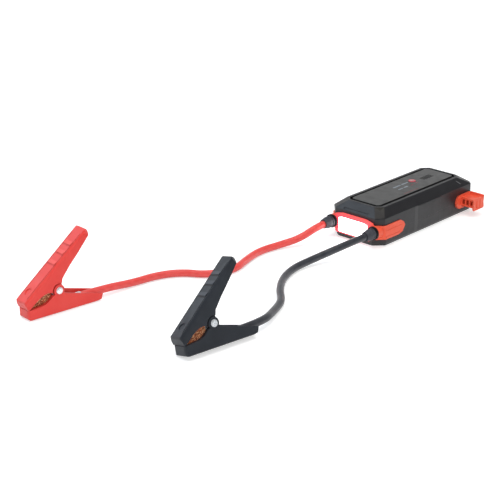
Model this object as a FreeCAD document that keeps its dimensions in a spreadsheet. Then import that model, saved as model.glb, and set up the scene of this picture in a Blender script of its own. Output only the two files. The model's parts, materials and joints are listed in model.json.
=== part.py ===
import FreeCAD, Part
import math
import os
import re
import Sketcher
from FreeCAD import Placement, Rotation, Vector

# A jump starter pack: a chunky battery housing with a lit work lamp in an orange frame,
# two orange clamp holders, and two leads that end in insulated battery clamps.
# Millimetres. The origin is the middle of the housing's base. +Z is up, the lamp faces -Y.

SIZES = {
    # Housing
    "pack_width": 76.0,
    "pack_length": 186.0,
    "pack_height": 43.5,
    "parting_height": 15.4,
    "belt_height": 34.6,
    "rim_inset_side": 10.3,
    "rim_inset_end": 12.1,
    "belt_leg": 8.0,
    "belt_leg_rear": 4.8,
    "rim_leg": 8.4,
    "foot_leg": 12.0,
    "foot_leg_rear": 3.6,
    "foot_high": 3.4,
    "foot_inset": 1.7,
    "foot_soft": 1.0,
    "wall": 2.4,
    "deck": 2.0,
    "soft_edge": 1.4,
    "pad_proud": 0.7,
    "pad_ramp": 6.0,
    "pad_front": -20.5,
    "pad_rear": 24.5,
    "brow_half": 18.0,
    "brow_rise": 4.0,
    "brow_depth": 0.6,
    # Top panel and what it carries
    "panel_side_room": 17.4,
    "panel_end_room": 18.0,
    "panel_leg": 3.2,
    "panel_thick": 3.6,
    "panel_gap": 0.3,
    "panel_proud": 0.4,
    "panel_soft": 0.3,
    "panel_seat": 0.6,
    "moat": 3.2,
    "window_half_width": 4.0,
    "window_half_length": 10.0,
    "window_end_room": 46.0,
    "window_flange": 1.5,
    "window_flange_thick": 0.8,
    "window_play": 0.1,
    "button_radius": 4.7,
    "button_x": -4.9,
    "button_end_room": 69.1,
    "button_proud": 0.4,
    "button_flange": 1.0,
    "button_flange_thick": 0.9,
    "button_stem": 1.8,
    "button_stem_length": 1.2,
    "button_travel": 0.8,
    "part_gap": 0.3,
    # Lamp and its frame
    "frame_proud": 3.5,
    "wing_proud": 1.2,
    "frame_leg_more": 2.15,
    "frame_low": 6.6,
    "frame_high": 31.1,
    "wing_low": 8.7,
    "wing_high": 26.0,
    "wing_length": 46.6,
    "wing_groove": 0.8,
    "lens_side_room": 2.1,
    "lens_low": 8.0,
    "lens_high": 26.6,
    "lens_corner": 5.0,
    "lens_front": 3.4,
    "lens_lip": 1.0,
    "lens_lip_thick": 2.0,
    "lens_play": 0.2,
    "reflector_deep": 8.5,
    "reflector_wall": 1.0,
    "reflector_inset": 0.6,
    "led_size": 3.4,
    "led_high": 0.8,
    "led_pitch": 8.0,
    "led_hole": 2.6,
    # Lead glands and leads
    "gland_inset": 7.0,
    "gland_z": 18.7,
    "gland_neck": 5.2,
    "gland_play": 0.1,
    "gland_disc": 8.0,
    "gland_disc_thick": 2.2,
    "gland_body": 6.8,
    "gland_waist": 6.2,
    "gland_tip": 5.4,
    "gland_reach": 16.5,
    "gland_taper": 7.0,
    "gland_inside": 13.0,
    "collar": 7.7,
    "lead_diameter": 8.4,
    "lead_seat": 4.5,
    "stub_inside": 23.0,
    "lug_thick": 1.2,
    "lug_half": 3.6,
    # Clamp holders
    "holder_end_room": 7.0,
    "holder_length": 30.0,
    "holder_z": 16.4,
    "holder_base_radius": 8.5,
    "holder_base_thick": 2.4,
    "web_length": 20.7,
    "web_low": 12.0,
    "web_high": 23.0,
    "web_reach": 17.4,
    "flange_thick": 1.6,
    "flange_low": 8.4,
    "flange_rear": 1.3,
    "rim_high": 2.4,
    "rim_thick": 1.6,
    "pocket_first": 1.5,
    "pocket_last": 0.4,
    "pocket_wall": 1.8,
    "pocket_deep": 13.0,
    "groove_first": 5.2,
    "groove_pitch": 6.6,
    "groove_wide": 2.2,
    "groove_deep": 0.6,
    "tray_deep": 0.9,
    "holder_screw": 1.2,
    "holder_screw_head": 2.2,
    "holder_screw_z": 20.0,
    "holder_rear_screw": 6.2,
    # Battery, boards and wiring
    "cell_side_room": 11.0,
    "cell_front_room": 69.0,
    "cell_rear_room": 13.0,
    "cell_thick": 6.4,
    "cell_gap": 0.2,
    "foam": 1.0,
    "board_side_room": 13.0,
    "board_length": 38.0,
    "board_thick": 1.6,
    "board_z": 9.0,
    "board_front_room": 25.0,
    "post_radius": 2.6,
    "screen_board_z": 33.0,
    "screen_board_thick": 1.2,
    "screen_board_half": 14.0,
    "screen_end_room": 29.5,
    "screen_board_length": 53.0,
    "bar_thick": 0.8,
    # Charging socket
    "socket_width": 9.0,
    "socket_high": 3.2,
    "socket_deep": 8.0,
    "socket_board_z": 18.6,
    # Housing screws
    "screw_radius": 1.45,
    "screw_head": 2.7,
    "screw_head_high": 2.0,
    "screw_sunk": 1.2,
    "screw_length": 15.0,
    "screw_inset": 6.6,
    "screw_end_room": 19.0,
    "screw_middle": 11.0,
    "boss_radius": 3.4,
    "boss_split": 8.0,
    "hole_play": 0.2,
    # Clamps
    "clamp_half": 10.2,
    "clamp_inner": 8.2,
    "clamp_floor": 2.2,
    "channel_front": 30.5,
    "clamp_bevel": 1.2,
    "tail_length": 91.2,
    "pivot_u": 37.7,
    "pivot_w": 24.7,
    "pivot_boss": 6.4,
    "boss_clear": 1.7,
    "pin_radius": 2.1,
    "pin_play": 0.05,
    "rivet_head": 3.9,
    "rivet_high": 1.9,
    "rivet_dome": 1.6,
    "nose_over": 3.5,
    "nose_top": 21.0,
    "handle_u": 73.0,
    "handle_w": 82.0,
    "roof": 3.07,
    "ear_inner": 5.9,
    "ear_outer": 7.9,
    "ear_radius": 5.8,
    "top_bevel": 2.0,
    "ridge_high": 0.8,
    "ridge_run": 6.5,
    "ridge_half": 6.6,
    "dimple_radius": 4.2,
    "dimple_place": 12.5,
    "dimple_deep": 0.9,
    "line_inset": 0.9,
    "line_wide": 0.8,
    "line_deep": 0.5,
    "line_stop": 5.0,
    "jaw_half": 6.0,
    "jaw_sheet": 1.6,
    "jaw_play": 0.2,
    "jaw_front": 1.0,
    "jaw_length": 29.0,
    "jaw_floor": 5.0,
    "jaw_base": 11.8,
    "jaw_rise": 0.383,
    "jaw_above": 6.0,
    "jaw_gap": 0.6,
    "tooth_pitch": 2.0,
    "tooth_high": 1.1,
    "tongue_half": 3.2,
    "tongue_thick": 1.2,
    "spring_wire": 1.6,
    "spring_radius": 4.0,
    "spring_pitch": 2.2,
    "lead_line": 7.6,
    "nose_round": 3.0,
    "handle_round": 4.0,
    "handle_end": 3.7,
    "crimp_front": 58.0,
    "crimp_rear": 69.0,
    "crimp_wall": 0.6,
    "lead_end": 66.0,
    # Where the clamps lie
    "red_x": -110.8,
    "red_y": -499.8,
    "red_lift": 0.3,
    "red_heading": 81.88,
    "red_lean": 2.1,
    "black_x": 76.5,
    "black_y": -457.0,
    "black_lift": 2.4,
    "black_heading": 81.77,
    "black_lean": 15.4,
}

# Sizes that follow from others, as formulas of the sheet.
TIED = {
    "panel_half_width": "pack_width / 2 - panel_side_room",
    "panel_half_length": "pack_length / 2 - panel_end_room",
    "window_place": "pack_length / 2 - window_end_room",
    "button_y": "pack_length / 2 - button_end_room",
    "screen_board_rear": "pack_length / 2 - screen_end_room",
    "screen_board_front": "screen_board_rear - screen_board_length",
    "wing_end": "wing_length - pack_length / 2",
    "gland_x": "pack_width / 2 - gland_inset",
    "lens_half": "gland_x - collar - lens_side_room",
    "holder_rear": "pack_length / 2 - holder_end_room",
    "holder_front": "holder_rear - holder_length",
    "web_front": "holder_rear - web_length",
    "cell_width": "pack_width - 2 * cell_side_room",
    "cell_length": "pack_length - cell_front_room - cell_rear_room",
    "cell_front": "cell_front_room - pack_length / 2",
    "board_width": "pack_width - 2 * board_side_room",
    "board_front": "board_front_room - pack_length / 2",
    "screw_x": "pack_width / 2 - screw_inset",
    "screw_pitch": "pack_length / 2 - screw_middle - screw_end_room",
}

# Points of the free leads between gland and clamp. The tube lies on the floor at this height.
FLOOR_LINE = 4.3
# How far each lead runs straight out of its gland.
FIRST_RUN = {"red": 22.0, "black": 23.0}
RED_ROUTE = [
    (-37.0, -148.0, 8.8),
    (-49.0, -172.0, FLOOR_LINE),
    (-53.0, -201.0, FLOOR_LINE),
    (-46.0, -231.0, FLOOR_LINE),
    (-35.5, -261.0, FLOOR_LINE),
    (-47.0, -292.0, FLOOR_LINE),
    (-74.0, -307.0, FLOOR_LINE),
    (-88.0, -333.0, FLOOR_LINE),
    (-92.0, -364.0, FLOOR_LINE),
]
BLACK_ROUTE = [
    (25.0, -152.0, 14.8),
    (13.0, -181.0, 7.0),
    (9.5, -212.0, FLOOR_LINE),
    (20.0, -243.0, FLOOR_LINE),
    (39.0, -270.0, FLOOR_LINE),
    (61.0, -291.0, FLOOR_LINE),
    (73.0, -317.0, 5.2),
]
# How far behind each clamp's nose its lead turns onto the clamp's own line.
TAIL_POINTS = {"red": 101.0, "black": 105.0}

doc = FreeCAD.newDocument("JumpStarterPack")
sheet = doc.addObject("Spreadsheet::Sheet", "Sizes")
CELLS = {**SIZES, **{alias: "=" + formula for alias, formula in TIED.items()}}
for row, (alias, value) in enumerate(CELLS.items(), start=1):
    sheet.set("A%d" % row, alias)
    sheet.setAlias("B%d" % row, alias)
    sheet.set("B%d" % row, str(value))
doc.recompute()

PARTS = {}
WORD = re.compile(r"[a-z][a-z_]+")


def size(alias):
    """A driving dimension, read back from the sheet."""
    return float(sheet.get(alias))


def linked(text):
    """The same expression with each alias pointed at the sheet."""
    return WORD.sub(lambda hit: "Sizes." + hit.group() if hit.group() in CELLS else hit.group(), text)


def bind(item, prop, text):
    item.setExpression(prop, linked(text))


def keep(item, label):
    """Names an object as one of the finished pieces."""
    item.Label = label
    PARTS[label] = item
    return item


# Building blocks

# Outlines start as regular rings of this radius, before their corners are driven into place.
START_RING = 30.0


def sketch(body, name, role, points, offset):
    """A closed outline whose corners are all driven by the sheet."""
    plane = next(item for item in body.Origin.OriginFeatures if item.Role == role)
    item = body.newObject("Sketcher::SketchObject", name)
    item.AttachmentSupport = (plane, [""])
    item.MapMode = "FlatFace"
    bind(item, "AttachmentOffset.Base.z", offset)
    turn = 2 * math.pi / len(points)
    ring = [Vector(START_RING * math.cos(turn * i), START_RING * math.sin(turn * i), 0)
            for i in range(len(points))]
    for i, corner in enumerate(ring):
        item.addGeometry(Part.LineSegment(corner, ring[(i + 1) % len(ring)]), False)
    for i in range(len(ring)):
        item.addConstraint(Sketcher.Constraint("Coincident", i, 2, (i + 1) % len(ring), 1))
    for i, (across, up) in enumerate(points):
        column = item.addConstraint(Sketcher.Constraint("DistanceX", -1, 1, i, 1, ring[i].x))
        line = item.addConstraint(Sketcher.Constraint("DistanceY", -1, 1, i, 1, ring[i].y))
        bind(item, "Constraints[%d]" % column, across)
        bind(item, "Constraints[%d]" % line, up)
    item.Visibility = False
    return item


def prism(name, role, points, offset, length):
    """An outline on an origin plane, padded along that plane's normal."""
    body = doc.addObject("PartDesign::Body", name)
    outline = sketch(body, name + "Outline", role, points, offset)
    pad = body.newObject("PartDesign::Pad", name + "Pad")
    pad.Profile = outline
    bind(pad, "Length", length)
    return body


def octagon(half_x, half_y, leg):
    """Corners of a rectangle whose four corners are cut at 45 degrees."""
    x, y = "(%s)" % half_x, "(%s)" % half_y
    in_x, in_y = "(%s - (%s))" % (x, leg), "(%s - (%s))" % (y, leg)
    return [("-" + in_x, "-" + y), (in_x, "-" + y), (x, "-" + in_y), (x, in_y),
            (in_x, y), ("-" + in_x, y), ("-" + x, in_y), ("-" + x, "-" + in_y)]


def tall_outline(right, left, heights):
    """An outline that stands on its base: half widths to the right and left against heights."""
    far = [("-(%s)" % across, up) for across, up in zip(left, heights)]
    return list(zip(right, heights)) + far[::-1]


def faceted(name, sections):
    """A solid with flat faces through octagons.

    Each octagon is a height, a half width, a half length, and the leg of its front corners. One
    more leg follows where the rear corners differ.
    """
    heights = [section[0] for section in sections]
    front, rear = (["(%s + %s - (%s)) / sqrt(2)" % (section[1], section[2], section[place])
                    for section in sections] for place in (3, -1))
    form = common(name + "Block", *[
        prism(name + view, plane, tall_outline(half, half, heights), "-2 * pack_length", "4 * pack_length")
        for view, plane, half in (("Front", "XZ_Plane", [s[1] for s in sections]),
                                  ("Side", "YZ_Plane", [s[2] for s in sections]))
    ])
    for i, (angle, right, left) in enumerate(((45, rear, front), (-45, front, rear))):
        corners = prism("%sCorners%d" % (name, i), "XZ_Plane", tall_outline(right, left, heights),
                        "-2 * pack_length", "4 * pack_length")
        corners.Placement = Placement(Vector(), Rotation(Vector(0, 0, 1), angle))
        form = common("%sFacets%d" % (name, i), form, corners)
    return form


def box(name, low, spans):
    """A block from its lowest corner and its three spans."""
    item = doc.addObject("Part::Box", name)
    for prop, text in zip(("Length", "Width", "Height"), spans):
        bind(item, prop, text)
    for axis, text in zip("xyz", low):
        bind(item, "Placement.Base." + axis, text)
    return item


TURNS = {
    "x": Rotation(Vector(0, 1, 0), 90),
    "y": Rotation(Vector(1, 0, 0), -90),
    "z": Rotation(),
}


def rod(name, axis, start, radius, length, end_radius=None):
    """A cylinder, or a cone, that starts at a point and runs along an axis."""
    item = doc.addObject("Part::Cone" if end_radius else "Part::Cylinder", name)
    item.Placement = Placement(Vector(), TURNS[axis])
    bind(item, "Radius1" if end_radius else "Radius", radius)
    if end_radius:
        bind(item, "Radius2", end_radius)
    bind(item, "Height", length)
    for direction, text in zip("xyz", start):
        bind(item, "Placement.Base." + direction, text)
    return item


def fuse(name, items):
    item = doc.addObject("Part::MultiFuse", name)
    item.Shapes = items
    return item


def common(name, first, second):
    item = doc.addObject("Part::Common", name)
    item.Base = first
    item.Tool = second
    return item


def cut(name, base, tools):
    """A piece with one or more tools taken away."""
    item = doc.addObject("Part::Cut", name)
    item.Base = base
    item.Tool = tools[0] if len(tools) == 1 else fuse(name + "Tools", tools)
    return item


def group(name, items):
    """Separate solids that share one node."""
    item = doc.addObject("Part::Compound", name)
    item.Links = items
    return item


def softened(name, base, radius, wanted):
    """Rounds the edges that a test picks out by place."""
    doc.recompute()
    item = doc.addObject("Part::Fillet", name)
    item.Base = base
    item.Edges = [(i, size(radius), size(radius))
                  for i, edge in enumerate(base.Shape.Edges, start=1) if wanted(edge)]
    return item


def solid(name, shape):
    """A shape that no primitive or sketch gives."""
    item = doc.addObject("Part::Feature", name)
    item.Shape = shape
    return item


# Housing

HALF_W = "pack_width / 2"
HALF_L = "pack_length / 2"
PANEL_TOP = "(pack_height + panel_proud)"
PANEL_BED = "(pack_height + panel_proud - panel_thick)"
CELL_STEP = "(cell_thick + cell_gap)"
CELL_BASE = "(wall + foam)"
CELL_TOP = "(%s + 3 * %s + cell_thick)" % (CELL_BASE, CELL_STEP)
SCREEN_TOP = "(screen_board_z + screen_board_thick)"


def leg_at(height, end=""):
    """The corner facets narrow steadily from the foot up to the belt."""
    foot, belt = "foot_leg" + end, "belt_leg" + end
    return "(%s + (%s - %s) * (%s) / belt_height)" % (foot, belt, foot, height)


def inner_leg(leg):
    """The leg of an inner octagon that keeps the wall even at the facets."""
    return "%s - 0.586 * wall" % leg


def side_pads(name, low, high):
    """The raised middle panels on both long sides, between two heights."""
    pads = []
    for side, sign in (("Right", "1"), ("Left", "-1")):
        inner = "%s * (pack_width / 2 - wall / 2)" % sign
        flush = "%s * pack_width / 2" % sign
        proud = "%s * (pack_width / 2 + pad_proud)" % sign
        corners = [(inner, "pad_front - pad_ramp"), (flush, "pad_front - pad_ramp"),
                   (proud, "pad_front"), (proud, "pad_rear"),
                   (flush, "pad_rear + pad_proud"), (inner, "pad_rear + pad_proud")]
        pads.append(prism(name + side, "XY_Plane", corners, low, "%s - (%s)" % (high, low)))
    return pads


def screw_places():
    """The six housing screws, three on each side."""
    rows = ["screw_middle - screw_pitch", "screw_middle", "screw_middle + screw_pitch"]
    return [(x, y) for x in ("screw_x", "-screw_x") for y in rows]


def screw_rods(name, z, radius, length):
    return [rod("%s%d" % (name, i), "z", (x, y, z), radius, length)
            for i, (x, y) in enumerate(screw_places())]


def gland_rods(name, radius, start, length):
    """Two rods on the gland axes."""
    return [rod(name + side, "y", (x, start, "gland_z"), radius, length)
            for side, x in (("Red", "-gland_x"), ("Black", "gland_x"))]


def holder_screw_rods(name, radius, start, length):
    """Rods on the four holder screw axes, from a distance off the middle plane outwards."""
    rods = []
    for y_name, y in (("Front", "web_front + holder_screw_head"),
                      ("Rear", "holder_rear - holder_rear_screw")):
        rods.append(rod(name + "Right" + y_name, "x", (start, y, "holder_screw_z"), radius, length))
        rods.append(rod(name + "Left" + y_name, "x",
                        ("-(%s) - (%s)" % (start, length), y, "holder_screw_z"), radius, length))
    return rods


def lens_outline(grow):
    """The lamp's outline, seen from the front, grown by a margin."""
    low, high = "(lens_low - %s)" % grow, "(lens_high + %s)" % grow
    half = "(lens_half + %s)" % grow
    nick = "lens_corner * 0.3"
    return [("-%s + %s" % (half, nick), low), ("%s - %s" % (half, nick), low),
            (half, "%s + %s" % (low, nick)), (half, "%s - %s" % (high, nick)),
            ("%s - lens_corner" % half, high), ("-%s + lens_corner" % half, high),
            ("-" + half, "%s - %s" % (high, nick)), ("-" + half, "%s + %s" % (low, nick))]


def lens_prism(name, grow, rear, front):
    """The lamp's outline between two depths, both counted forward from the middle plane."""
    return prism(name, "XZ_Plane", lens_outline(grow), rear, "(%s) - (%s)" % (front, rear))


def screen_post_places():
    in_x = "(screen_board_half - post_radius)"
    front, rear = "screen_board_front + post_radius + 1", "screen_board_rear - post_radius - 1"
    return [(sign + in_x, y) for sign in ("", "-") for y in (front, rear)]


def brow():
    """The shallow patch on the front slope, over the lamp."""
    run, rise = size("rim_inset_end"), size("pack_height") - size("belt_height")
    steep = math.hypot(run, rise)
    back, up = run / steep, rise / steep
    half_length, belt = size("pack_length") / 2, size("belt_height")

    def corner(along, out):
        y = -half_length + back * along - up * out
        return ("%.4f" % y, "%.4f" % (belt + up * along + back * out))

    low, high, deep = 0.8, size("brow_rise"), -size("brow_depth")
    return prism("Brow", "YZ_Plane", [corner(low, deep), corner(high, deep), corner(high, 3), corner(low, 3)],
                 "-brow_half", "2 * brow_half")


def panel_octagon(grow):
    """The top panel's outline, grown by a margin."""
    return octagon("panel_half_width + " + grow, "panel_half_length + " + grow,
                   "panel_leg + 0.586 * " + grow)


def build_upper_shell():
    form = faceted("UpperForm", [
        ("parting_height", HALF_W, HALF_L, leg_at("parting_height"), leg_at("parting_height", "_rear")),
        ("belt_height", HALF_W, HALF_L, "belt_leg", "belt_leg_rear"),
        ("pack_height", HALF_W + " - rim_inset_side", HALF_L + " - rim_inset_end", "rim_leg"),
    ])
    cavity = faceted("UpperCavity", [
        ("parting_height", HALF_W + " - wall", HALF_L + " - wall", inner_leg(leg_at("parting_height")),
         inner_leg(leg_at("parting_height", "_rear"))),
        ("belt_height - wall / 2", HALF_W + " - wall", HALF_L + " - wall", inner_leg("belt_leg"),
         inner_leg("belt_leg_rear")),
        (PANEL_BED + " - deck", HALF_W + " - rim_inset_side / 2 - wall * 1.4",
         HALF_L + " - rim_inset_end / 2 - wall * 1.4", inner_leg("rim_leg")),
    ])
    bosses = screw_rods("UpperBoss", "parting_height - 1", "boss_radius", "pack_height")
    ribs = [box("CellRib%d" % i, ("-cell_width * 0.4", y, CELL_TOP + " + foam"),
                ("cell_width * 0.8", "wall", "belt_height"))
            for i, y in enumerate(("cell_front + cell_length * 0.12", "cell_front + cell_length * 0.9"))]
    posts = [rod("ScreenPost%d" % i, "z", (x, y, SCREEN_TOP), "post_radius", "pack_height")
             for i, (x, y) in enumerate(screen_post_places())]
    parting = size("parting_height")
    outside = softened("UpperSoft", form, "soft_edge",
                       lambda edge: not all(abs(v.Z - parting) < 0.01 for v in edge.Vertexes))
    shell = cut("UpperBlank", outside, [cut("UpperHollow", cavity, bosses + ribs + posts)])
    tails = screw_rods("UpperTail", "boss_split + part_gap", "boss_radius", "parting_height")
    whole = fuse("UpperWhole", [shell] + tails
                 + side_pads("UpperPad", "parting_height", "(belt_height - soft_edge / 2)"))
    holes = [
        prism("PanelRecess", "XY_Plane", panel_octagon("panel_gap"), PANEL_BED, "pack_height"),
        prism("PanelMoat", "XY_Plane", panel_octagon("moat"), PANEL_BED + " + panel_seat", "pack_height"),
        box("ScreenWell", ("-window_half_width - window_flange / 2",
                           "window_place - window_half_length - window_flange / 2", "belt_height"),
            ("2 * window_half_width + window_flange", "2 * window_half_length + window_flange",
             "pack_height")),
        rod("ButtonWell", "z", ("button_x", "button_y", "belt_height"),
            "button_radius + button_flange + part_gap", "pack_height"),
        lens_prism("UpperLampHole", "0.4", "pack_length / 2 - wall * 2", "pack_length / 2 + wall"),
        box("SocketHole", ("-socket_width / 2 - part_gap", "pack_length / 2 - wall * 2",
                           "socket_board_z + screen_board_thick - part_gap"),
            ("socket_width + 2 * part_gap", "wall * 4", "socket_high + 2 * part_gap")),
        brow(),
    ]
    holes += gland_rods("UpperGlandHole", "gland_neck + gland_play", "-pack_length / 2 - wall", "wall * 8")
    holes += screw_rods("UpperBore", "0", "screw_radius",
                        "screw_sunk + screw_head_high + screw_length + hole_play")
    holes += holder_screw_rods("UpperHolderHole", "holder_screw", "pack_width / 2 - wall * 2", "wall * 3")
    keep(cut("UpperShell", whole, holes), "upper_shell")


def build_lower_shell():
    form = faceted("LowerForm", [
        ("0", HALF_W + " - foot_inset", HALF_L + " - foot_inset", "foot_leg - 0.586 * foot_inset",
         "foot_leg_rear - 0.586 * foot_inset"),
        ("foot_high", HALF_W, HALF_L, leg_at("foot_high"), leg_at("foot_high", "_rear")),
        ("parting_height", HALF_W, HALF_L, leg_at("parting_height"), leg_at("parting_height", "_rear")),
    ])
    cavity = faceted("LowerCavity", [
        ("wall", HALF_W + " - wall - foot_soft", HALF_L + " - wall - foot_soft", inner_leg(leg_at("wall")),
         inner_leg(leg_at("wall", "_rear"))),
        ("foot_high + wall", HALF_W + " - wall", HALF_L + " - wall", inner_leg(leg_at("foot_high + wall")),
         inner_leg(leg_at("foot_high + wall", "_rear"))),
        ("parting_height", HALF_W + " - wall", HALF_L + " - wall", inner_leg(leg_at("parting_height")),
         inner_leg(leg_at("parting_height", "_rear"))),
    ])
    upright = softened("LowerSoft", form, "soft_edge",
                       lambda edge: abs(edge.Vertexes[0].Z - edge.Vertexes[1].Z) > 5)
    bosses = [rod("LowerBoss%d" % i, "z", (x, y, "0"), "boss_radius", "boss_split")
              for i, (x, y) in enumerate(screw_places())]
    board_posts = [rod("BoardPost%d%d" % (i, j), "z", (x, y, "0"), "post_radius", "board_z")
                   for i, x in enumerate(("board_width / 2 - 4", "4 - board_width / 2"))
                   for j, y in enumerate(("board_front + 4", "board_front + board_length - 4"))]
    socket_posts = [rod("SocketPost%d" % i, "z", (x, "pack_length / 2 - wall - socket_deep / 2", "0"),
                        "post_radius", "socket_board_z")
                    for i, x in enumerate(("post_radius * 2", "-post_radius * 2"))]
    shelf = [box("LampShelf%d" % i, (x, "-pack_length / 2 + reflector_deep", "0"),
                 ("wall * 2", "board_thick", "lens_low - lens_lip"))
             for i, x in enumerate(("lens_half / 2", "-lens_half / 2 - wall * 2"))]
    stops = [box("LampStop%d" % i, (x, "-pack_length / 2 + reflector_deep + board_thick", "0"),
                 ("wall * 2", "wall", "parting_height - part_gap"))
             for i, x in enumerate(("lens_half / 2", "-lens_half / 2 - wall * 2"))]
    hollow = cut("LowerHollow", cavity, bosses + board_posts + socket_posts + shelf + stops)
    high_posts = [rod("SocketPostTop%d" % i, "z", (x, "pack_length / 2 - wall - socket_deep / 2", "wall"),
                      "post_radius", "socket_board_z - wall")
                  for i, x in enumerate(("post_radius * 2", "-post_radius * 2"))]
    whole = fuse("LowerWhole", [cut("LowerBlank", upright, [hollow])] + high_posts
                 + side_pads("LowerPad", "foot_high", "parting_height"))
    holes = [lens_prism("LowerLampHole", "0.4", "pack_length / 2 - wall * 2", "pack_length / 2 + wall")]
    holes += gland_rods("LowerGlandHole", "gland_neck + gland_play", "-pack_length / 2 - wall", "wall * 8")
    holes += screw_rods("LowerSink", "-1", "screw_head + hole_play", "1 + screw_sunk + screw_head_high")
    holes += screw_rods("LowerBore", "0", "screw_radius + hole_play", "parting_height")
    keep(cut("LowerShell", whole, holes), "lower_shell")


def build_fasteners():
    heads = screw_rods("ScrewHead", "screw_sunk", "screw_head", "screw_head_high")
    shanks = screw_rods("ScrewShank", "screw_sunk + screw_head_high", "screw_radius", "screw_length")
    keep(group("HousingScrews", [fuse("HousingScrew%d" % i, list(pair))
                                 for i, pair in enumerate(zip(heads, shanks))]), "housing_screws")
    reach = "wall + holder_base_thick + tray_deep"
    inner = "pack_width / 2 - wall"
    shanks = holder_screw_rods("HolderShank", "holder_screw", inner, reach)
    heads = holder_screw_rods("HolderHead", "holder_screw_head", inner + " - screw_head_high",
                              "screw_head_high")
    keep(group("HolderScrews", [fuse("HolderScrew%d" % i, list(pair))
                                for i, pair in enumerate(zip(heads, shanks))]), "holder_screws")


# Top panel, display and power button

def build_top():
    form = prism("PanelForm", "XY_Plane", panel_octagon("0"), PANEL_BED, "panel_thick")
    top = size("pack_height") + size("panel_proud")
    panel = softened("PanelSoft", form, "panel_soft",
                     lambda edge: all(abs(v.Z - top) < 0.01 for v in edge.Vertexes))

    def window_box(name, grow, low, height):
        return box(name, ("-(window_half_width + %s)" % grow,
                          "window_place - (window_half_length + %s)" % grow, low),
                   ("2 * (window_half_width + %s)" % grow, "2 * (window_half_length + %s)" % grow, height))

    holes = [
        window_box("WindowHole", "window_play", PANEL_BED + " - 1", "panel_thick + 2"),
        window_box("WindowRabbet", "(window_flange + window_play)", PANEL_BED + " - 1",
                   "1 + window_flange_thick"),
        rod("ButtonHole", "z", ("button_x", "button_y", PANEL_BED + " - 1"), "button_radius + part_gap",
            "panel_thick + 2"),
    ]
    keep(cut("TopPanel", panel, holes), "top_panel")
    keep(fuse("DisplayWindow", [
        window_box("WindowFlange", "window_flange", PANEL_BED, "window_flange_thick"),
        window_box("WindowFace", "0", PANEL_BED, "panel_thick"),
    ]), "display_window")

    flange_top = "(%s - part_gap)" % PANEL_BED
    flange_low = "(%s - button_flange_thick)" % flange_top
    cap_base = rod("ButtonCap", "z", ("button_x", "button_y", flange_low), "button_radius",
                   PANEL_TOP + " + button_proud - " + flange_low)
    cap_top = top + size("button_proud")
    cap = softened("ButtonSoft", cap_base, "button_proud",
                   lambda edge: all(abs(v.Z - cap_top) < 0.01 for v in edge.Vertexes))
    keep(fuse("PowerButton", [
        cap,
        rod("ButtonRim", "z", ("button_x", "button_y", flange_low), "button_radius + button_flange",
            "button_flange_thick"),
        rod("ButtonStem", "z", ("button_x", "button_y", flange_low + " - button_stem_length"), "button_stem",
            "button_stem_length + button_flange_thick / 2"),
    ]), "power_button")

    keep(box("DisplayBoard", ("-screen_board_half", "screen_board_front", "screen_board_z"),
             ("2 * screen_board_half", "screen_board_rear - screen_board_front", "screen_board_thick")),
         "display_board")
    keep(window_box("DisplayModule", "0.2", SCREEN_TOP, PANEL_BED + " - window_play - " + SCREEN_TOP),
         "display_module")
    stem_end = "(%s - button_stem_length)" % flange_low
    keep(fuse("ButtonSwitch", [
        box("SwitchBody", ("button_x - 3", "button_y - 3", SCREEN_TOP), ("6", "6", "2.2")),
        rod("SwitchPlunger", "z", ("button_x", "button_y", SCREEN_TOP), "1.5",
            stem_end + " - button_travel - 0.1 - " + SCREEN_TOP),
    ]), "button_switch")


# Lamp and frame

FRONT = "pack_length / 2"


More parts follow.
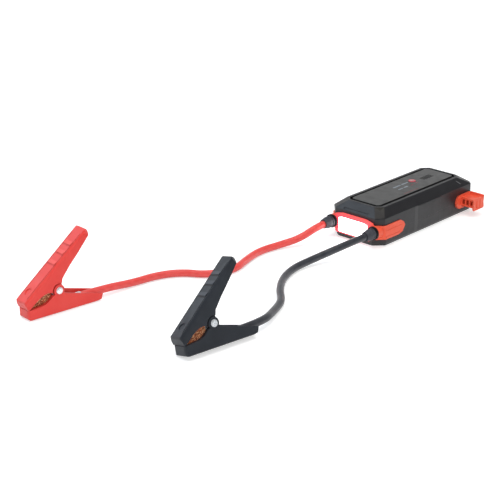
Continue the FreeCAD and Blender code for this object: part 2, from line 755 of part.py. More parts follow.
def build_frame():
    offset_form = faceted("FrameForm", [
        ("0", HALF_W + " + wing_proud", HALF_L + " + frame_proud", leg_at("0") + " + frame_leg_more"),
        ("belt_height", HALF_W + " + wing_proud", HALF_L + " + frame_proud", "belt_leg + frame_leg_more"),
    ])
    face = prism("FrameFace", "XZ_Plane", [
        ("-pack_width", "wing_low"), ("3 - gland_x", "wing_low"), ("7 - gland_x", "frame_low"),
        ("gland_x - 7", "frame_low"), ("gland_x - 3", "wing_low"), ("pack_width", "wing_low"),
        ("pack_width", "wing_high"), ("gland_x - 1.5", "wing_high"), ("gland_x - 4", "frame_high - 2.2"),
        ("gland_x - 14", "frame_high"), ("14 - gland_x", "frame_high"),
        ("4 - gland_x", "frame_high - 2.2"), ("1.5 - gland_x", "wing_high"), ("-pack_width", "wing_high"),
    ], "0", "pack_length")
    side = prism("FrameSide", "YZ_Plane", [
        ("-pack_length", "0"), ("wing_end - 12.1", "0"), ("wing_end - 12.1", "wing_low"),
        ("wing_end - 4.6", "wing_low + 1.9"), ("wing_end", "wing_low + 9.1"),
        ("wing_end - 3.2", "wing_high - 3.4"), ("wing_end - 9.2", "wing_high"),
        ("wing_end - 9.2", "pack_height"), ("-pack_length", "pack_height"),
    ], "-pack_width", "2 * pack_width")
    collars = gland_rods("FrameCollar", "collar", "-pack_length / 2 - frame_proud", "frame_proud + wall * 2")
    blank = fuse("FrameBlank", [common("FrameBand", common("FrameCut", offset_form, face), side)] + collars)
    core = faceted("FrameCore", [
        ("0", HALF_W, HALF_L, leg_at("0")),
        ("belt_height", HALF_W, HALF_L, "belt_leg"),
    ])
    holes = [
        core,
        lens_prism("FrameWindow", "lens_play", FRONT, FRONT + " + frame_proud + 1"),
        lens_prism("FrameRabbet", "(lens_lip + lens_play)", FRONT + " - 1", FRONT + " + lens_lip_thick"),
    ]
    holes += gland_rods("FrameNeckHole", "gland_neck + gland_play", "-pack_length / 2 - frame_proud - 1",
                        "frame_proud + wall * 8")
    for i, z in enumerate(("wing_low + 2.8", "gland_z + wing_groove")):
        for x_name, x in (("Right", "pack_width / 2 + wing_proud - wing_groove * 0.7"),
                          ("Left", "-pack_width / 2 - wing_proud - wing_groove * 0.3")):
            holes.append(box("WingGroove%s%d" % (x_name, i), (x, "-pack_length / 2 + 9", z),
                             ("wing_groove", "pack_length / 2 - 9 + wing_end - 7", "wing_groove")))
    keep(cut("FrontFrame", blank, holes), "front_frame")


def build_lamp():
    keep(fuse("LampLens", [
        lens_prism("LensLip", "lens_lip", FRONT, FRONT + " + lens_lip_thick"),
        lens_prism("LensFace", "0", FRONT, FRONT + " + lens_front"),
    ]), "lamp_lens")
    rear = FRONT + " - reflector_deep"
    leds = ["%d * led_pitch" % i for i in (-2, -1, 0, 1, 2)]
    middle = "(lens_low + lens_high) / 2"
    tray = [lens_prism("ReflectorInside", "(-reflector_inset - reflector_wall)", rear + " + reflector_wall",
                       FRONT + " + 1")]
    tray += [rod("ReflectorHole%d" % i, "y", (x, "-pack_length / 2", middle), "led_hole",
                 "reflector_deep + 1") for i, x in enumerate(leds)]
    keep(cut("LampReflector", lens_prism("ReflectorForm", "(-reflector_inset)", rear, FRONT), tray),
         "lamp_reflector")
    board_y = "-pack_length / 2 + reflector_deep"
    keep(box("LampBoard", ("-lens_half", board_y, "lens_low - lens_lip"),
             ("2 * lens_half", "board_thick", "lens_high - lens_low + 2 * lens_lip")), "lamp_board")
    keep(group("LightChips", [
        box("LightChip%d" % i, (x + " - led_size / 2", board_y + " - led_high", middle + " - led_size / 2"),
            ("led_size", "led_high", "led_size")) for i, x in enumerate(leds)
    ]), "light_chips")


# Glands, stubs and lugs

def build_glands():
    nose = "-pack_length / 2 - frame_proud"
    mouth = nose + " - gland_reach"
    for side, x in (("red", "-gland_x"), ("black", "gland_x")):
        name = "Gland" + side.title()

        def turned(part, start, radius, length, end_radius=None):
            return rod(name + part, "y", (x, start, "gland_z"), radius, length, end_radius)

        body = fuse(name + "Body", [
            turned("Taper", mouth, "gland_tip", "gland_taper", "gland_body"),
            turned("Front", mouth + " + gland_taper", "gland_body", "3"),
            turned("Waist", mouth + " + gland_taper + 3", "gland_waist", "1.2"),
            turned("Back", mouth + " + gland_taper + 4.2", "gland_body", "gland_reach - gland_taper - 4.2"),
            turned("Disc", nose + " - gland_disc_thick", "gland_disc", "gland_disc_thick"),
            turned("Neck", nose + " - 1", "gland_neck", "1 + gland_inside"),
        ])
        bore = turned("Bore", mouth + " - 1", "lead_diameter / 2", "gland_reach + gland_inside + 2")
        keep(cut(name, body, [bore]), "cable_gland_" + side)

    seat = nose + " - lead_seat"
    stub = "lead_seat + frame_proud + stub_inside"
    keep(group("InnerLeads", gland_rods("InnerLead", "lead_diameter / 2", seat, stub)), "inner_leads")
    tip = "-pack_length / 2 + stub_inside"
    lugs = []
    for side, x in (("Red", "-gland_x"), ("Black", "gland_x")):
        barrel = fuse("Lug" + side + "Body", [
            rod("Lug" + side + "Barrel", "y", (x, tip + " - 3", "gland_z"), "lead_diameter / 2 + 0.3", "5"),
            box("Lug" + side + "Blade", (x + " - lug_half", tip + " + 1", "gland_z - lug_thick / 2"),
                ("2 * lug_half", "9", "lug_thick")),
        ])
        lugs.append(cut("Lug" + side, barrel, [
            rod("Lug" + side + "Bore", "y", (x, tip + " - 4", "gland_z"), "lead_diameter / 2", "4")]))
    keep(group("LeadLugs", lugs), "lead_lugs")


# Clamp holders

def build_holders():
    rear = "holder_rear"
    near, far = "pack_width / 2 + holder_base_thick", "pack_width / 2 + holder_base_thick + web_reach"
    r = "holder_base_radius"
    plate = fuse("HolderPlate", [
        box("HolderPlateBox", ("pack_width / 2", "holder_front + " + r, "holder_z - " + r),
            ("holder_base_thick", "%s - holder_front - %s" % (rear, r), "2 * " + r)),
        rod("HolderPlateEnd", "x", ("pack_width / 2", "holder_front + " + r, "holder_z"), r,
            "holder_base_thick"),
    ])
    web = box("HolderWeb", (near, "web_front", "web_low"),
              ("web_reach", rear + " - web_front", "web_high - web_low"))
    rim = box("HolderRim", (near, rear + " - rim_thick", "web_high - 1"),
              ("web_reach", "rim_thick", "1 + rim_high"))
    # The end plate, seen from the side: level with the web, with the rim's ear behind and a skirt below.
    back, top = "(holder_rear + flange_rear)", "(web_high + rim_high)"
    flange = prism("HolderFlange", "YZ_Plane", [
        ("web_front + 0.9", "flange_low"), (back + " - 1.2", "flange_low"), (back, "flange_low + 1.2"),
        (back + " - 0.9", "holder_z"), (back, top + " - 1.6"), (back + " - 1.6", top),
        ("holder_rear - rim_thick", top), ("holder_rear - rim_thick", "web_high"),
        ("web_front + 0.6", "web_high"), ("web_front - 0.3", "web_high - 0.9"),
        ("web_front - 0.3", "flange_low + 1.6"),
    ], far, "flange_thick")
    pitch = "((web_reach + pocket_wall - pocket_first - pocket_last) / 3)"
    pockets = [box("HolderPocket%d" % i, ("%s + pocket_first + %d * %s" % (near, i, pitch), "web_front - 1",
                                          "web_low + 2.2"),
                   (pitch + " - pocket_wall", "1 + pocket_deep", "web_high - web_low - 4.4"))
               for i in range(3)]
    grooves = [box("HolderGroove%d" % i,
                   (far + " + flange_thick - groove_deep",
                    "web_front + groove_first + %d * groove_pitch" % i, "flange_low + 1.8"),
                   ("1 + groove_deep", "groove_wide", "web_high - flange_low - 3.2"))
               for i in range(2)]
    tray = box("HolderTray", (near + " + pocket_wall", "web_front + 2.4", "web_high - tray_deep"),
               ("web_reach - 2 * pocket_wall", rear + " - web_front - 5.4", "2"))
    bores = [rod("HolderBore%d" % i, "x", ("pack_width / 2 - 1", y, "holder_screw_z"), "holder_screw",
                 "1 + holder_base_thick + tray_deep")
             for i, y in enumerate(("web_front + holder_screw_head", "holder_rear - holder_rear_screw"))]
    blank = fuse("HolderBlank", [plate, web, rim, flange])
    right = cut("HolderRight", blank, pockets + grooves + [tray] + bores)
    left = doc.addObject("Part::Mirroring", "HolderLeft")
    left.Source = right
    left.Normal = Vector(1, 0, 0)
    keep(right, "clamp_holder_right")
    keep(left, "clamp_holder_left")


# Battery, boards and wiring

def build_inside():
    half = "cell_width / 2"
    keep(group("BatteryCells", [
        box("Cell%d" % i, ("-" + half, "cell_front", "%s + %d * %s" % (CELL_BASE, i, CELL_STEP)),
            ("cell_width", "cell_length", "cell_thick")) for i in range(4)
    ]), "battery_cells")
    keep(group("CellPads", [
        box("CellPad%d" % i, ("-%s + 3" % half, "cell_front + 3", z),
            ("cell_width - 6", "cell_length - 6", "foam")) for i, z in enumerate(("wall", CELL_TOP))
    ]), "cell_pads")
    board_top = "(board_z + board_thick)"
    keep(box("MainBoard", ("-board_width / 2", "board_front", "board_z"),
             ("board_width", "board_length", "board_thick")), "main_board")

    def across(share):
        """A distance across the board, as a share of its width."""
        return "(board_width * %g)" % share

    keep(group("BoardParts", [
        rod("CapacitorOne", "z", (across(-0.36), "board_front + 9", board_top), "4", "7"),
        rod("CapacitorTwo", "z", (across(-0.16), "board_front + 9", board_top), "4", "7"),
        box("Coil", (across(-0.44), "board_front + 18", board_top), (across(0.24), "12", "6")),
        box("Relay", (across(-0.12), "board_front + 17", board_top), (across(0.2), "16", "7")),
        box("Chip", (across(0.04), "board_front + 5", board_top), ("7", "7", "1.4")),
    ]), "board_parts")
    fins = [box("SinkFin%d" % i, (across(0.16 + 0.07 * i), "board_front + 14", board_top),
                ("1.2", "20", "7")) for i in range(5)]
    foot = box("SinkBase", (across(0.16), "board_front + 14", board_top),
               (across(0.28) + " + 1.2", "20", "1.6"))
    keep(fuse("HeatSink", fins + [foot]), "heat_sink")
    blade = "(gland_z + lug_thick / 2)"
    bars = []
    for side, s in (("Red", "-1 * "), ("Black", "1 * ")):
        outer, inner = s + "(cell_width / 2 - 1)", s + "(cell_width / 2 - 9)"
        strip = prism("Bar%sStrip" % side, "XY_Plane", [
            (s + "(gland_x - lug_half)", "board_front + 0.5"),
            (s + "(gland_x + lug_half)", "board_front + 0.5"),
            (s + "(gland_x + lug_half)", "board_front + 7"), (s + "(gland_x - 4)", "board_front + 11"),
            (outer, "cell_front - 6"), (outer, "cell_front"), (inner, "cell_front"),
            (inner, "cell_front - 8"), (s + "(gland_x - 9)", "board_front + 9"),
        ], blade, "bar_thick")
        tab = box("Bar%sTab" % side, (s + "(cell_width / 2 - 5) - 4", "cell_front - bar_thick",
                                      CELL_BASE + " + 1"),
                  ("8", "bar_thick", CELL_TOP + " - " + CELL_BASE + " - 2"))
        bars.append(fuse("Bar" + side, [strip, tab]))
    keep(group("BusBars", bars), "bus_bars")
    socket_top = "(socket_board_z + screen_board_thick)"
    deep = "(pack_length / 2 - wall - socket_deep)"
    keep(box("SocketBoard", ("-post_radius * 3.2", deep, "socket_board_z"),
             ("post_radius * 6.4", "socket_deep - part_gap", "screen_board_thick")), "socket_board")
    keep(cut("ChargeSocket", box("SocketShell", ("-socket_width / 2", deep, socket_top),
                                 ("socket_width", "socket_deep + wall - part_gap", "socket_high")), [
        box("SocketMouth", ("-socket_width / 2 + 0.5", deep + " + 1.5", socket_top + " + 0.5"),
            ("socket_width - 1", "socket_deep + wall", "socket_high - 1")),
    ]), "charge_socket")


# Clamps. Each is built with its nose at the origin, its length along X and its height along Z.

# The bars that bevel the arms: their thickness, and how far they pass the arm's ends.
BAR_THICK = 20.0
BAR_OVER = 20.0

# Where the three finger ridges stand on the upper arm's back, as shares of its length from the nose.
RIDGES = (0.51, 0.655, 0.78)

LOWER_PROFILE = [
    ("3", "0"), ("tail_length - 6", "0"), ("tail_length - 1.9", "1.7"), ("tail_length", "7.2"),
    ("pivot_u + 8.3", "19.6"), ("pivot_u + 4", "21.5"), ("pivot_u - 3", "21.5"), ("31.5", "21"),
    ("29.4", "20.2"), ("27", "17.6"), ("23", "14.8"), ("18", "13"), ("13", "12.5"), ("8", "12"),
    ("1", "11.6"), ("-0.8", "11.2"), ("-0.8", "3.4"), ("-0.3", "1.7"), ("0.9", "0.5"),
]
UPPER_PROFILE = [
    ("-nose_over", "nose_top"), ("-nose_over - 0.2", "nose_top - 2"), ("-0.7", "11.7"), ("1.5", "12.6"),
    ("7", "17"), ("11", "20"), ("15.5", "22.7"), ("20", "24.5"), ("24", "25.2"), ("28", "24.4"),
    ("pivot_u - 7", "23.5"), ("pivot_u", "pivot_w"), ("pivot_u + 3.5", "31.5"), ("42.6", "37.2"),
    ("52", "48.5"), ("64", "61"), ("handle_u + 5.4", "handle_w - 4.8"), ("handle_u + 6", "handle_w - 2.2"),
    ("handle_u + 4.5", "handle_w + 0.3"), ("handle_u + 2", "handle_w + 1.4"), ("handle_u", "handle_w"),
]


def top_line(u):
    """Height of the upper arm's straight back at a distance from the nose."""
    return "(nose_top + (handle_w - nose_top) * (%s + nose_over) / (handle_u + nose_over))" % u


def bite(u):
    """Height of the line on which the jaws meet."""
    return "(jaw_base + jaw_rise * (%s))" % u


def teeth(shift):
    """A saw line along the bite, from the front to the rear."""
    count = int(size("jaw_length") / size("tooth_pitch")) * 2
    line = []
    for i in range(count + 1):
        u = "jaw_front + %d * tooth_pitch / 2" % i
        drop = "" if i % 2 else " - tooth_high"
        line.append((u, "%s%s%s" % (bite(u), shift, drop)))
    return line


def nose_plan(name, front, length):
    """A tall block seen from above, with the two corners of its nose rounded in three steps."""
    r = "nose_round"
    corner = [(front, "clamp_half - " + r), (front + " + 0.13 * " + r, "clamp_half - 0.5 * " + r),
              (front + " + 0.5 * " + r, "clamp_half - 0.13 * " + r), (front + " + " + r, "clamp_half")]
    near = [(u, "-(%s)" % v) for u, v in reversed(corner)]
    return prism(name + "Plan", "XY_Plane", corner + [(length, "clamp_half"), (length, "-clamp_half")] + near,
                 "-10", "4 * handle_w")


def sunk_bar(name, middle, axis, facing, depth, length, thick):
    """A square bar along an axis, whose inner face lies at a depth below the middle point."""
    bar = doc.addObject("Part::Box", name)
    bar.Length = length
    bar.Width = thick
    bar.Height = thick
    facing = Vector(facing).normalize()
    across = facing.cross(axis)
    start = middle - facing * depth - across * (thick / 2) - axis * (length / 2)
    bar.Placement = Placement(start, Rotation(axis, across, facing, "XYZ"))
    return bar


def build_lower_arm(side, name):
    profile = prism(name + "Profile", "XZ_Plane", LOWER_PROFILE, "-clamp_half", "2 * clamp_half")
    section = prism(name + "Section", "YZ_Plane", [
        ("clamp_bevel - clamp_half", "0"), ("clamp_half - clamp_bevel", "0"), ("clamp_half", "clamp_bevel"),
        ("clamp_half", "handle_w"), ("-clamp_half", "handle_w"), ("-clamp_half", "clamp_bevel"),
    ], "-10", "tail_length + 20")
    plan = nose_plan(name, "-0.8", "tail_length + 20")
    blank = fuse(name + "Blank", [
        common(name + "Nosed", common(name + "Bevelled", profile, section), plan),
        rod(name + "Boss", "y", ("pivot_u", "-clamp_half", "pivot_w"), "pivot_boss", "2 * clamp_half"),
    ])
    slot = "(jaw_half + jaw_play)"
    holes = [
        box(name + "Channel", ("channel_front", "-clamp_inner", "clamp_floor"),
            ("tail_length", "2 * clamp_inner", "handle_w")),
        box(name + "Slot", ("jaw_front - 0.5", "-" + slot, "jaw_floor"),
            ("pivot_u - jaw_front", "2 * " + slot, "handle_w")),
        rod(name + "Eye", "y", ("pivot_u", "-clamp_half - 1", "pivot_w"), "pin_radius", "2 * clamp_half + 2"),
    ]
    return keep(cut(name + "Arm", blank, holes), side + "_lower_arm")


def build_upper_arm(side, name):
    name += "Up"
    profile = prism(name + "Profile", "XZ_Plane", UPPER_PROFILE, "-clamp_half", "2 * clamp_half")
    cavity = prism(name + "Cavity", "XZ_Plane", [
        ("14", "0"), ("14", top_line("14") + " - roof"), ("68.5", top_line("68.5") + " - roof"),
        ("73", "70.5"), ("60", "40"), ("60", "0"),
    ], "-clamp_inner", "2 * clamp_inner")
    slot = "(jaw_half + jaw_play)"
    jaw_slot = prism(name + "Slot", "XZ_Plane", [
        ("jaw_front - 0.5", "0"), ("jaw_front - 0.5", bite("jaw_front - 0.5") + " + jaw_above"),
        ("15", bite("15") + " + jaw_above"), ("15", "0"),
    ], "-" + slot, "2 * " + slot)
    clear = rod(name + "Clear", "y", ("pivot_u", "-clamp_half - 1", "pivot_w"), "pivot_boss + boss_clear",
                "2 * clamp_half + 2")
    slope = math.atan2(size("handle_w") - size("nose_top"), size("handle_u") + size("nose_over"))
    along = Vector(math.cos(slope), 0, math.sin(slope))
    out = Vector(-math.sin(slope), 0, math.cos(slope))
    nose = Vector(-size("nose_over"), 0, size("nose_top"))
    tools = [cavity, jaw_slot, clear]
    reach = math.hypot(size("handle_w") - size("nose_top"), size("handle_u") + size("nose_over"))
    for i, hand in enumerate((-1, 1)):
        outward = Vector(0, hand, 0)
        edge = nose + outward * size("clamp_half")
        tools.append(sunk_bar("%sBevel%d" % (name, i), edge + along * (reach / 2), along, outward + out,
                              size("top_bevel") / math.sqrt(2), reach + 2 * BAR_OVER, BAR_THICK))
        tools.append(sunk_bar("%sEnd%d" % (name, i), edge + along * (reach + size("handle_end")), out,
                              outward + along, size("handle_round") / math.sqrt(2), 2 * BAR_OVER, BAR_THICK))
        line = edge + along * (reach / 2) - outward * (size("top_bevel") + size("line_inset"))
        tools.append(sunk_bar("%sLine%d" % (name, i), line, along, out, size("line_deep"),
                              reach - 2 * size("line_stop"), size("line_wide")))
    dimple = doc.addObject("Part::Cylinder", name + "Dimple")
    bind(dimple, "Radius", "dimple_radius")
    dimple.Height = 4
    dimple.Placement = Placement(nose + along * size("dimple_place") - out * size("dimple_deep"),
                                 Rotation(Vector(0, 0, 1), out))
    tools.append(dimple)
    nosed = common(name + "Nosed", profile, nose_plan(name, "-nose_over - 0.2", "2 * handle_u"))
    shell = cut(name + "Shell", nosed, tools)
    ridges = []
    for i, share in enumerate(RIDGES):
        foot = nose + along * (reach * share)
        wedge = [foot - out, foot + along * 0.5 + out * size("ridge_high"),
                 foot + along * 1.3 + out * size("ridge_high"), foot + along * size("ridge_run") - out * 0.1,
                 foot + along * size("ridge_run") - out]
        ridges.append(prism("%sRidge%d" % (name, i), "XZ_Plane",
                            [("%.4f" % p.x, "%.4f" % p.z) for p in wedge], "-ridge_half", "2 * ridge_half"))
    # A prism on this plane grows towards the near side, a rod along y towards the far side.
    ears = []
    for hand, flat_start, web_start, rod_start in (("Far", "-ear_outer", "-clamp_inner - 0.1", "ear_inner"),
                                                   ("Near", "ear_inner", "ear_inner", "-ear_outer")):
        ears.append(prism(name + "Ear" + hand, "XZ_Plane", [
            ("pivot_u - ear_radius", "pivot_w"), ("pivot_u + ear_radius", "pivot_w"),
            ("pivot_u + 4.1", "34"), ("pivot_u - 6.2", "34"),
        ], flat_start, "ear_outer - ear_inner"))
        ears.append(prism(name + "Web" + hand, "XZ_Plane", [
            ("pivot_u - 7.2", "33"), ("pivot_u + 3.8", "33"), ("42.6", "37.4"), ("46", "41.4"),
            ("46", top_line("46") + " - roof + 0.2"),
            ("pivot_u - 7.2", top_line("pivot_u - 7.2") + " - roof + 0.2"),
        ], web_start, "clamp_inner + 0.1 - ear_inner"))
        ears.append(rod(name + "EarEnd" + hand, "y", ("pivot_u", rod_start, "pivot_w"), "ear_radius",
                        "ear_outer - ear_inner"))
    eye = rod(name + "Eye", "y", ("pivot_u", "-clamp_half - 1", "pivot_w"), "pin_radius + pin_play",
              "2 * clamp_half + 2")
    return keep(cut(name + "Arm", fuse(name + "Whole", [shell] + ridges + ears), [eye]), side + "_upper_arm")


def build_jaws(side, name):
    inner = "(jaw_half - jaw_sheet)"
    rear = "(jaw_front + jaw_length)"
    low_line = teeth(" - jaw_gap / 2")
    lower = prism(name + "JawLow", "XZ_Plane", [(rear, "jaw_floor"), ("jaw_front", "jaw_floor")] + low_line,
                  "-jaw_half", "2 * jaw_half")
    hollow = box(name + "JawLowGap", ("jaw_front - 1", "-" + inner, "jaw_floor + jaw_sheet"),
                 ("jaw_length + 2", "2 * " + inner, "handle_w"))
    tongue = prism(name + "Tongue", "XZ_Plane", [
        (rear + " - 4", "jaw_floor"), ("channel_front", "jaw_floor"), ("channel_front", "clamp_floor"),
        ("crimp_front - 0.5", "clamp_floor"), ("crimp_front - 0.5", "clamp_floor + tongue_thick"),
        ("channel_front + 4", "clamp_floor + tongue_thick"), ("channel_front + 2", "jaw_floor + jaw_sheet"),
        (rear + " - 4", "jaw_floor + jaw_sheet"),
    ], "-tongue_half", "2 * tongue_half")
    low_jaw = keep(fuse(name + "LowerJaw", [cut(name + "JawLowCut", lower, [hollow]), tongue]),
                   side + "_lower_jaw")
    high_line = teeth(" + jaw_gap / 2")
    crown = [(rear, bite(rear) + " + jaw_above"), ("jaw_front", bite("jaw_front") + " + jaw_above")]
    upper = prism(name + "JawHigh", "XZ_Plane", crown + high_line, "-jaw_half", "2 * jaw_half")
    upper_hollow = prism(name + "JawHighGap", "XZ_Plane", [
        ("jaw_front - 1", "0"), (rear + " + 1", "0"),
        (rear + " + 1", bite(rear + " + 1") + " + jaw_above - jaw_sheet"),
        ("jaw_front - 1", bite("jaw_front - 1") + " + jaw_above - jaw_sheet"),
    ], "-" + inner, "2 * " + inner)
    return [low_jaw, keep(cut(name + "UpperJaw", upper, [upper_hollow]), side + "_upper_jaw")]


def build_rivet(side, name):
    domes = []
    for hand, low, outer in (("Far", "clamp_half", 1), ("Near", "-clamp_half - rivet_high", -1)):
        head = rod(name + "Head" + hand, "y", ("pivot_u", low, "pivot_w"), "rivet_head", "rivet_high")
        rim = outer * (size("clamp_half") + size("rivet_high"))
        domes.append(softened(name + "Dome" + hand, head, "rivet_dome",
                              lambda edge, rim=rim: all(abs(v.Y - rim) < 0.01 for v in edge.Vertexes)))
    pin = rod(name + "Pin", "y", ("pivot_u", "-clamp_half", "pivot_w"), "pin_radius", "2 * clamp_half")
    return keep(fuse(name + "Rivet", [pin] + domes), side + "_pivot_rivet")


def build_crimp(side, name):
    wide = "lead_diameter / 2 + crimp_wall"
    body = fuse(name + "CrimpBody", [
        rod(name + "CrimpBarrel", "x", ("crimp_front", "0", "lead_line"), wide, "crimp_rear - crimp_front"),
        box(name + "CrimpFoot", ("crimp_front - 7", "-tongue_half", "clamp_floor + tongue_thick"),
            ("8", "2 * tongue_half", "3")),
    ])
    bore = rod(name + "CrimpBore", "x", ("lead_end", "0", "lead_line"), "lead_diameter / 2", "tail_length")
    return keep(cut(name + "Crimp", body, [bore]), side + "_lead_crimp")


def arc_pair(start, end, leave, arrive):
    """Two arcs that join two points with a given direction at each."""
    chord = end - start
    spread = leave + arrive
    even = 2 * (1 - leave.dot(arrive))
    along = chord.dot(spread)
    reach = (-along + math.sqrt(along * along + even * chord.dot(chord))) / even
    joint = (start + end + (leave - arrive) * reach) / 2
    edges = []
    for a, b, way in ((start, joint, leave), (joint, end, None)):
        span = b - a
        if way is None:
            # The second arc is walked backwards from its own end.
            way = arrive - span * (2 * arrive.dot(span) / span.dot(span))
            way = way * -1
        side = way - span * (way.dot(span) / span.dot(span))
        half = math.atan2(side.Length, way.dot(span) / span.Length) / 2
        middle = (a + b) / 2 + side.normalize() * (span.Length / 2 * math.tan(half))
        edges.append(Part.Arc(a, middle, b).toShape())
    return edges


def tube(path, start, way, radius):
    """A round section swept along a wire."""
    ring = Part.Wire([Part.Circle(start, way, radius).toShape()])
    return path.makePipeShell([ring], True, False)


def build_spring(side, name):
    """A coil of wire round the rivet, with one leg under the handle and one on the floor."""
    pivot = Vector(size("pivot_u"), 0, size("pivot_w"))
    radius, pitch = size("spring_radius"), size("spring_pitch")
    first, last = math.radians(165), math.radians(208 + 4 * 360)
    turns = (last - first) / (2 * math.pi)
    steps = 17

    def point(i):
        angle = first + (last - first) * i / steps
        rise = pitch * turns * (i / steps - 0.5)
        return pivot + Vector(radius * math.cos(angle), rise, radius * math.sin(angle))

    def way(i):
        angle = first + (last - first) * i / steps
        lift = pitch / (2 * math.pi * radius) if 0 < i < steps else 0
        return Vector(-math.sin(angle), lift, math.cos(angle)).normalize()

    wire = size("spring_wire")
    back = way(0)
    top = size("nose_top") - size("roof") - wire * 0.64
    rise = (size("handle_w") - size("nose_top")) / (size("handle_u") + size("nose_over"))
    start = point(0)
    up_leg = (top + rise * (start.x + size("nose_over")) - start.z) / (-back.z + rise * back.x)
    front_end = start - back * up_leg
    tail = way(steps)
    end = point(steps)
    down_leg = (size("clamp_floor") + wire / 2 - end.z) / tail.z
    rear_end = end + tail * down_leg
    edges = [Part.LineSegment(front_end, start).toShape()]
    for i in range(steps):
        edges += arc_pair(point(i), point(i + 1), way(i), way(i + 1))
    edges.append(Part.LineSegment(end, rear_end).toShape())
    path = Part.Wire(edges)
    shape = tube(path, front_end, back, wire / 2)
    samples = path.discretize(Distance=0.4)
    gaps = [(a - b).Length - wire for i, a in enumerate(samples) for b in samples[i + 12:]]
    print("%s spring: length %.1f, volume ratio %.4f, least gap %.2f" % (
        side, path.Length, shape.Volume / (path.Length * math.pi * wire * wire / 4), min(gaps)))
    return keep(solid(name + "Spring", shape), side + "_clamp_spring")


def clamp_place(side):
    heading, lean = size(side + "_heading"), size(side + "_lean")
    turn = Rotation(Vector(0, 0, 1), heading) * Rotation(Vector(1, 0, 0), -lean)
    return Placement(Vector(size(side + "_x"), size(side + "_y"), size(side + "_lift")), turn)


def build_clamp(side):
    name = side.title()
    pieces = [build_lower_arm(side, name), build_upper_arm(side, name), build_rivet(side, name),
              build_crimp(side, name), build_spring(side, name)]
    pieces += build_jaws(side, name)
    for piece in pieces:
        piece.Placement = clamp_place(side)


# Leads

def lead_path(name, points):
    """Straight runs joined by arcs that touch them. Prints the radii."""
    edges, radii = [], []
    last = points[0]
    for before, corner, after in zip(points, points[1:], points[2:]):
        into, away = (corner - before), (after - corner)
        turn = into.getAngle(away)
        trim = 0.45 * min(into.Length, away.Length)
        radii.append(trim / math.tan(turn / 2))
        into.normalize()
        away.normalize()
        start, end = corner - into * trim, corner + away * trim
        inward = (away - into).normalize()
        middle = corner + inward * (radii[-1] * (1 / math.cos(turn / 2) - 1))
        edges += [Part.LineSegment(last, start).toShape(), Part.Arc(start, middle, end).toShape()]
        last = end
    edges.append(Part.LineSegment(last, points[-1]).toShape())
    print(name, "radii:", " ".join("%.0f" % r for r in radii))
    return Part.Wire(edges)


def build_lead(side, middle_points):
    seat = -size("pack_length") / 2 - size("frame_proud") - size("lead_seat")
    x = size("gland_x") * (1 if side == "black" else -1)
    place = clamp_place(side)
    tail = [place.multVec(Vector(u, 0, size("lead_line"))) for u in (TAIL_POINTS[side], size("lead_end"))]
    exit_line = [Vector(x, seat, size("gland_z")), Vector(x, seat - FIRST_RUN[side], size("gland_z"))]
    points = exit_line + [Vector(*p) for p in middle_points] + tail
    path = lead_path(side + "_lead", points)
    radius = size("lead_diameter") / 2
    shape = tube(path, points[0], Vector(0, -1, 0), radius)
    lowest = min(p.z for p in path.discretize(Distance=1)) - radius
    print("%s lead: length %.1f, volume ratio %.4f, lowest %.2f, tail %s %s" % (
        side, path.Length, shape.Volume / (path.Length * math.pi * radius * radius), lowest,
        tail[0], tail[1]))
    keep(solid(side.title() + "Lead", shape), side + "_lead")


def write_parts():
    doc.recompute()
    bad = [item.Name for item in doc.Objects if "Invalid" in item.State or "Error" in item.State]
    if bad:
        raise RuntimeError("In a bad state: " + ", ".join(bad))
    for label, item in PARTS.items():
        if item.Shape.isNull() or not item.Shape.isValid():
            raise RuntimeError("%s has no sound shape" % label)
    os.makedirs("parts", exist_ok=True)
    for label, item in PARTS.items():
        item.Shape.exportStep("parts/%s.step" % label)
    print("%d pieces" % len(PARTS))


build_upper_shell()
build_lower_shell()
build_fasteners()
build_top()
build_frame()
build_lamp()
build_glands()
build_holders()
build_inside()
build_clamp("red")
build_clamp("black")
build_lead("red", RED_ROUTE)
build_lead("black", BLACK_ROUTE)
write_parts()
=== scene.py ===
# %% [markdown]
# # A jump starter pack
# This lesson dresses a finished construction model of a jump starter pack: a chunky battery
# housing with a lit work lamp in an orange frame, two orange clamp holders, and two leads that
# end in battery clamps. The construction model gives the shapes and sizes that everything here
# builds on. What is left to do is the leads, the finishes, the small prints, the clamps' springs,
# the light and the camera.

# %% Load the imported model
import bpy
import json
import math
from mathutils import Matrix, Vector


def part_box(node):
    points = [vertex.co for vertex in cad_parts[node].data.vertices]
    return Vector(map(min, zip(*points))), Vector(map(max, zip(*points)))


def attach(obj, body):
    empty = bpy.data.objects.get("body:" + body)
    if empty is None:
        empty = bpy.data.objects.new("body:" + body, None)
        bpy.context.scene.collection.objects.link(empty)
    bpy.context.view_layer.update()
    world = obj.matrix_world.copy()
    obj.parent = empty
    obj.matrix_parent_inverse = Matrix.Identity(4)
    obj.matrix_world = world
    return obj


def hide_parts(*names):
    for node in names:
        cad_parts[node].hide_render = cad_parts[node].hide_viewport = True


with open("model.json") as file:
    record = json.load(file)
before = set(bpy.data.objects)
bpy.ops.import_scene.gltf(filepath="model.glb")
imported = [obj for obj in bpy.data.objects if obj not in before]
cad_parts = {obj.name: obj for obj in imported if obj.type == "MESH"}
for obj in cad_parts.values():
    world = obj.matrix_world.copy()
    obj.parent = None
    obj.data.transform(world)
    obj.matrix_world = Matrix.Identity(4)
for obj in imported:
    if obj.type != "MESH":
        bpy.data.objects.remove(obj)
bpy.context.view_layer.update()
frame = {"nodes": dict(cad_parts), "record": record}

MM = 0.001
print("pieces in the construction model:", len(frame["nodes"]))

# %% [markdown]
# ## The camera
# The photograph was taken from the front right, a little above the pack, with a long lens: the
# edges of the housing hardly run together. A camera is placed by the point that it looks at, its
# distance, and two angles. A 36 mm wide sensor with a 108 mm lens gives that narrow view.

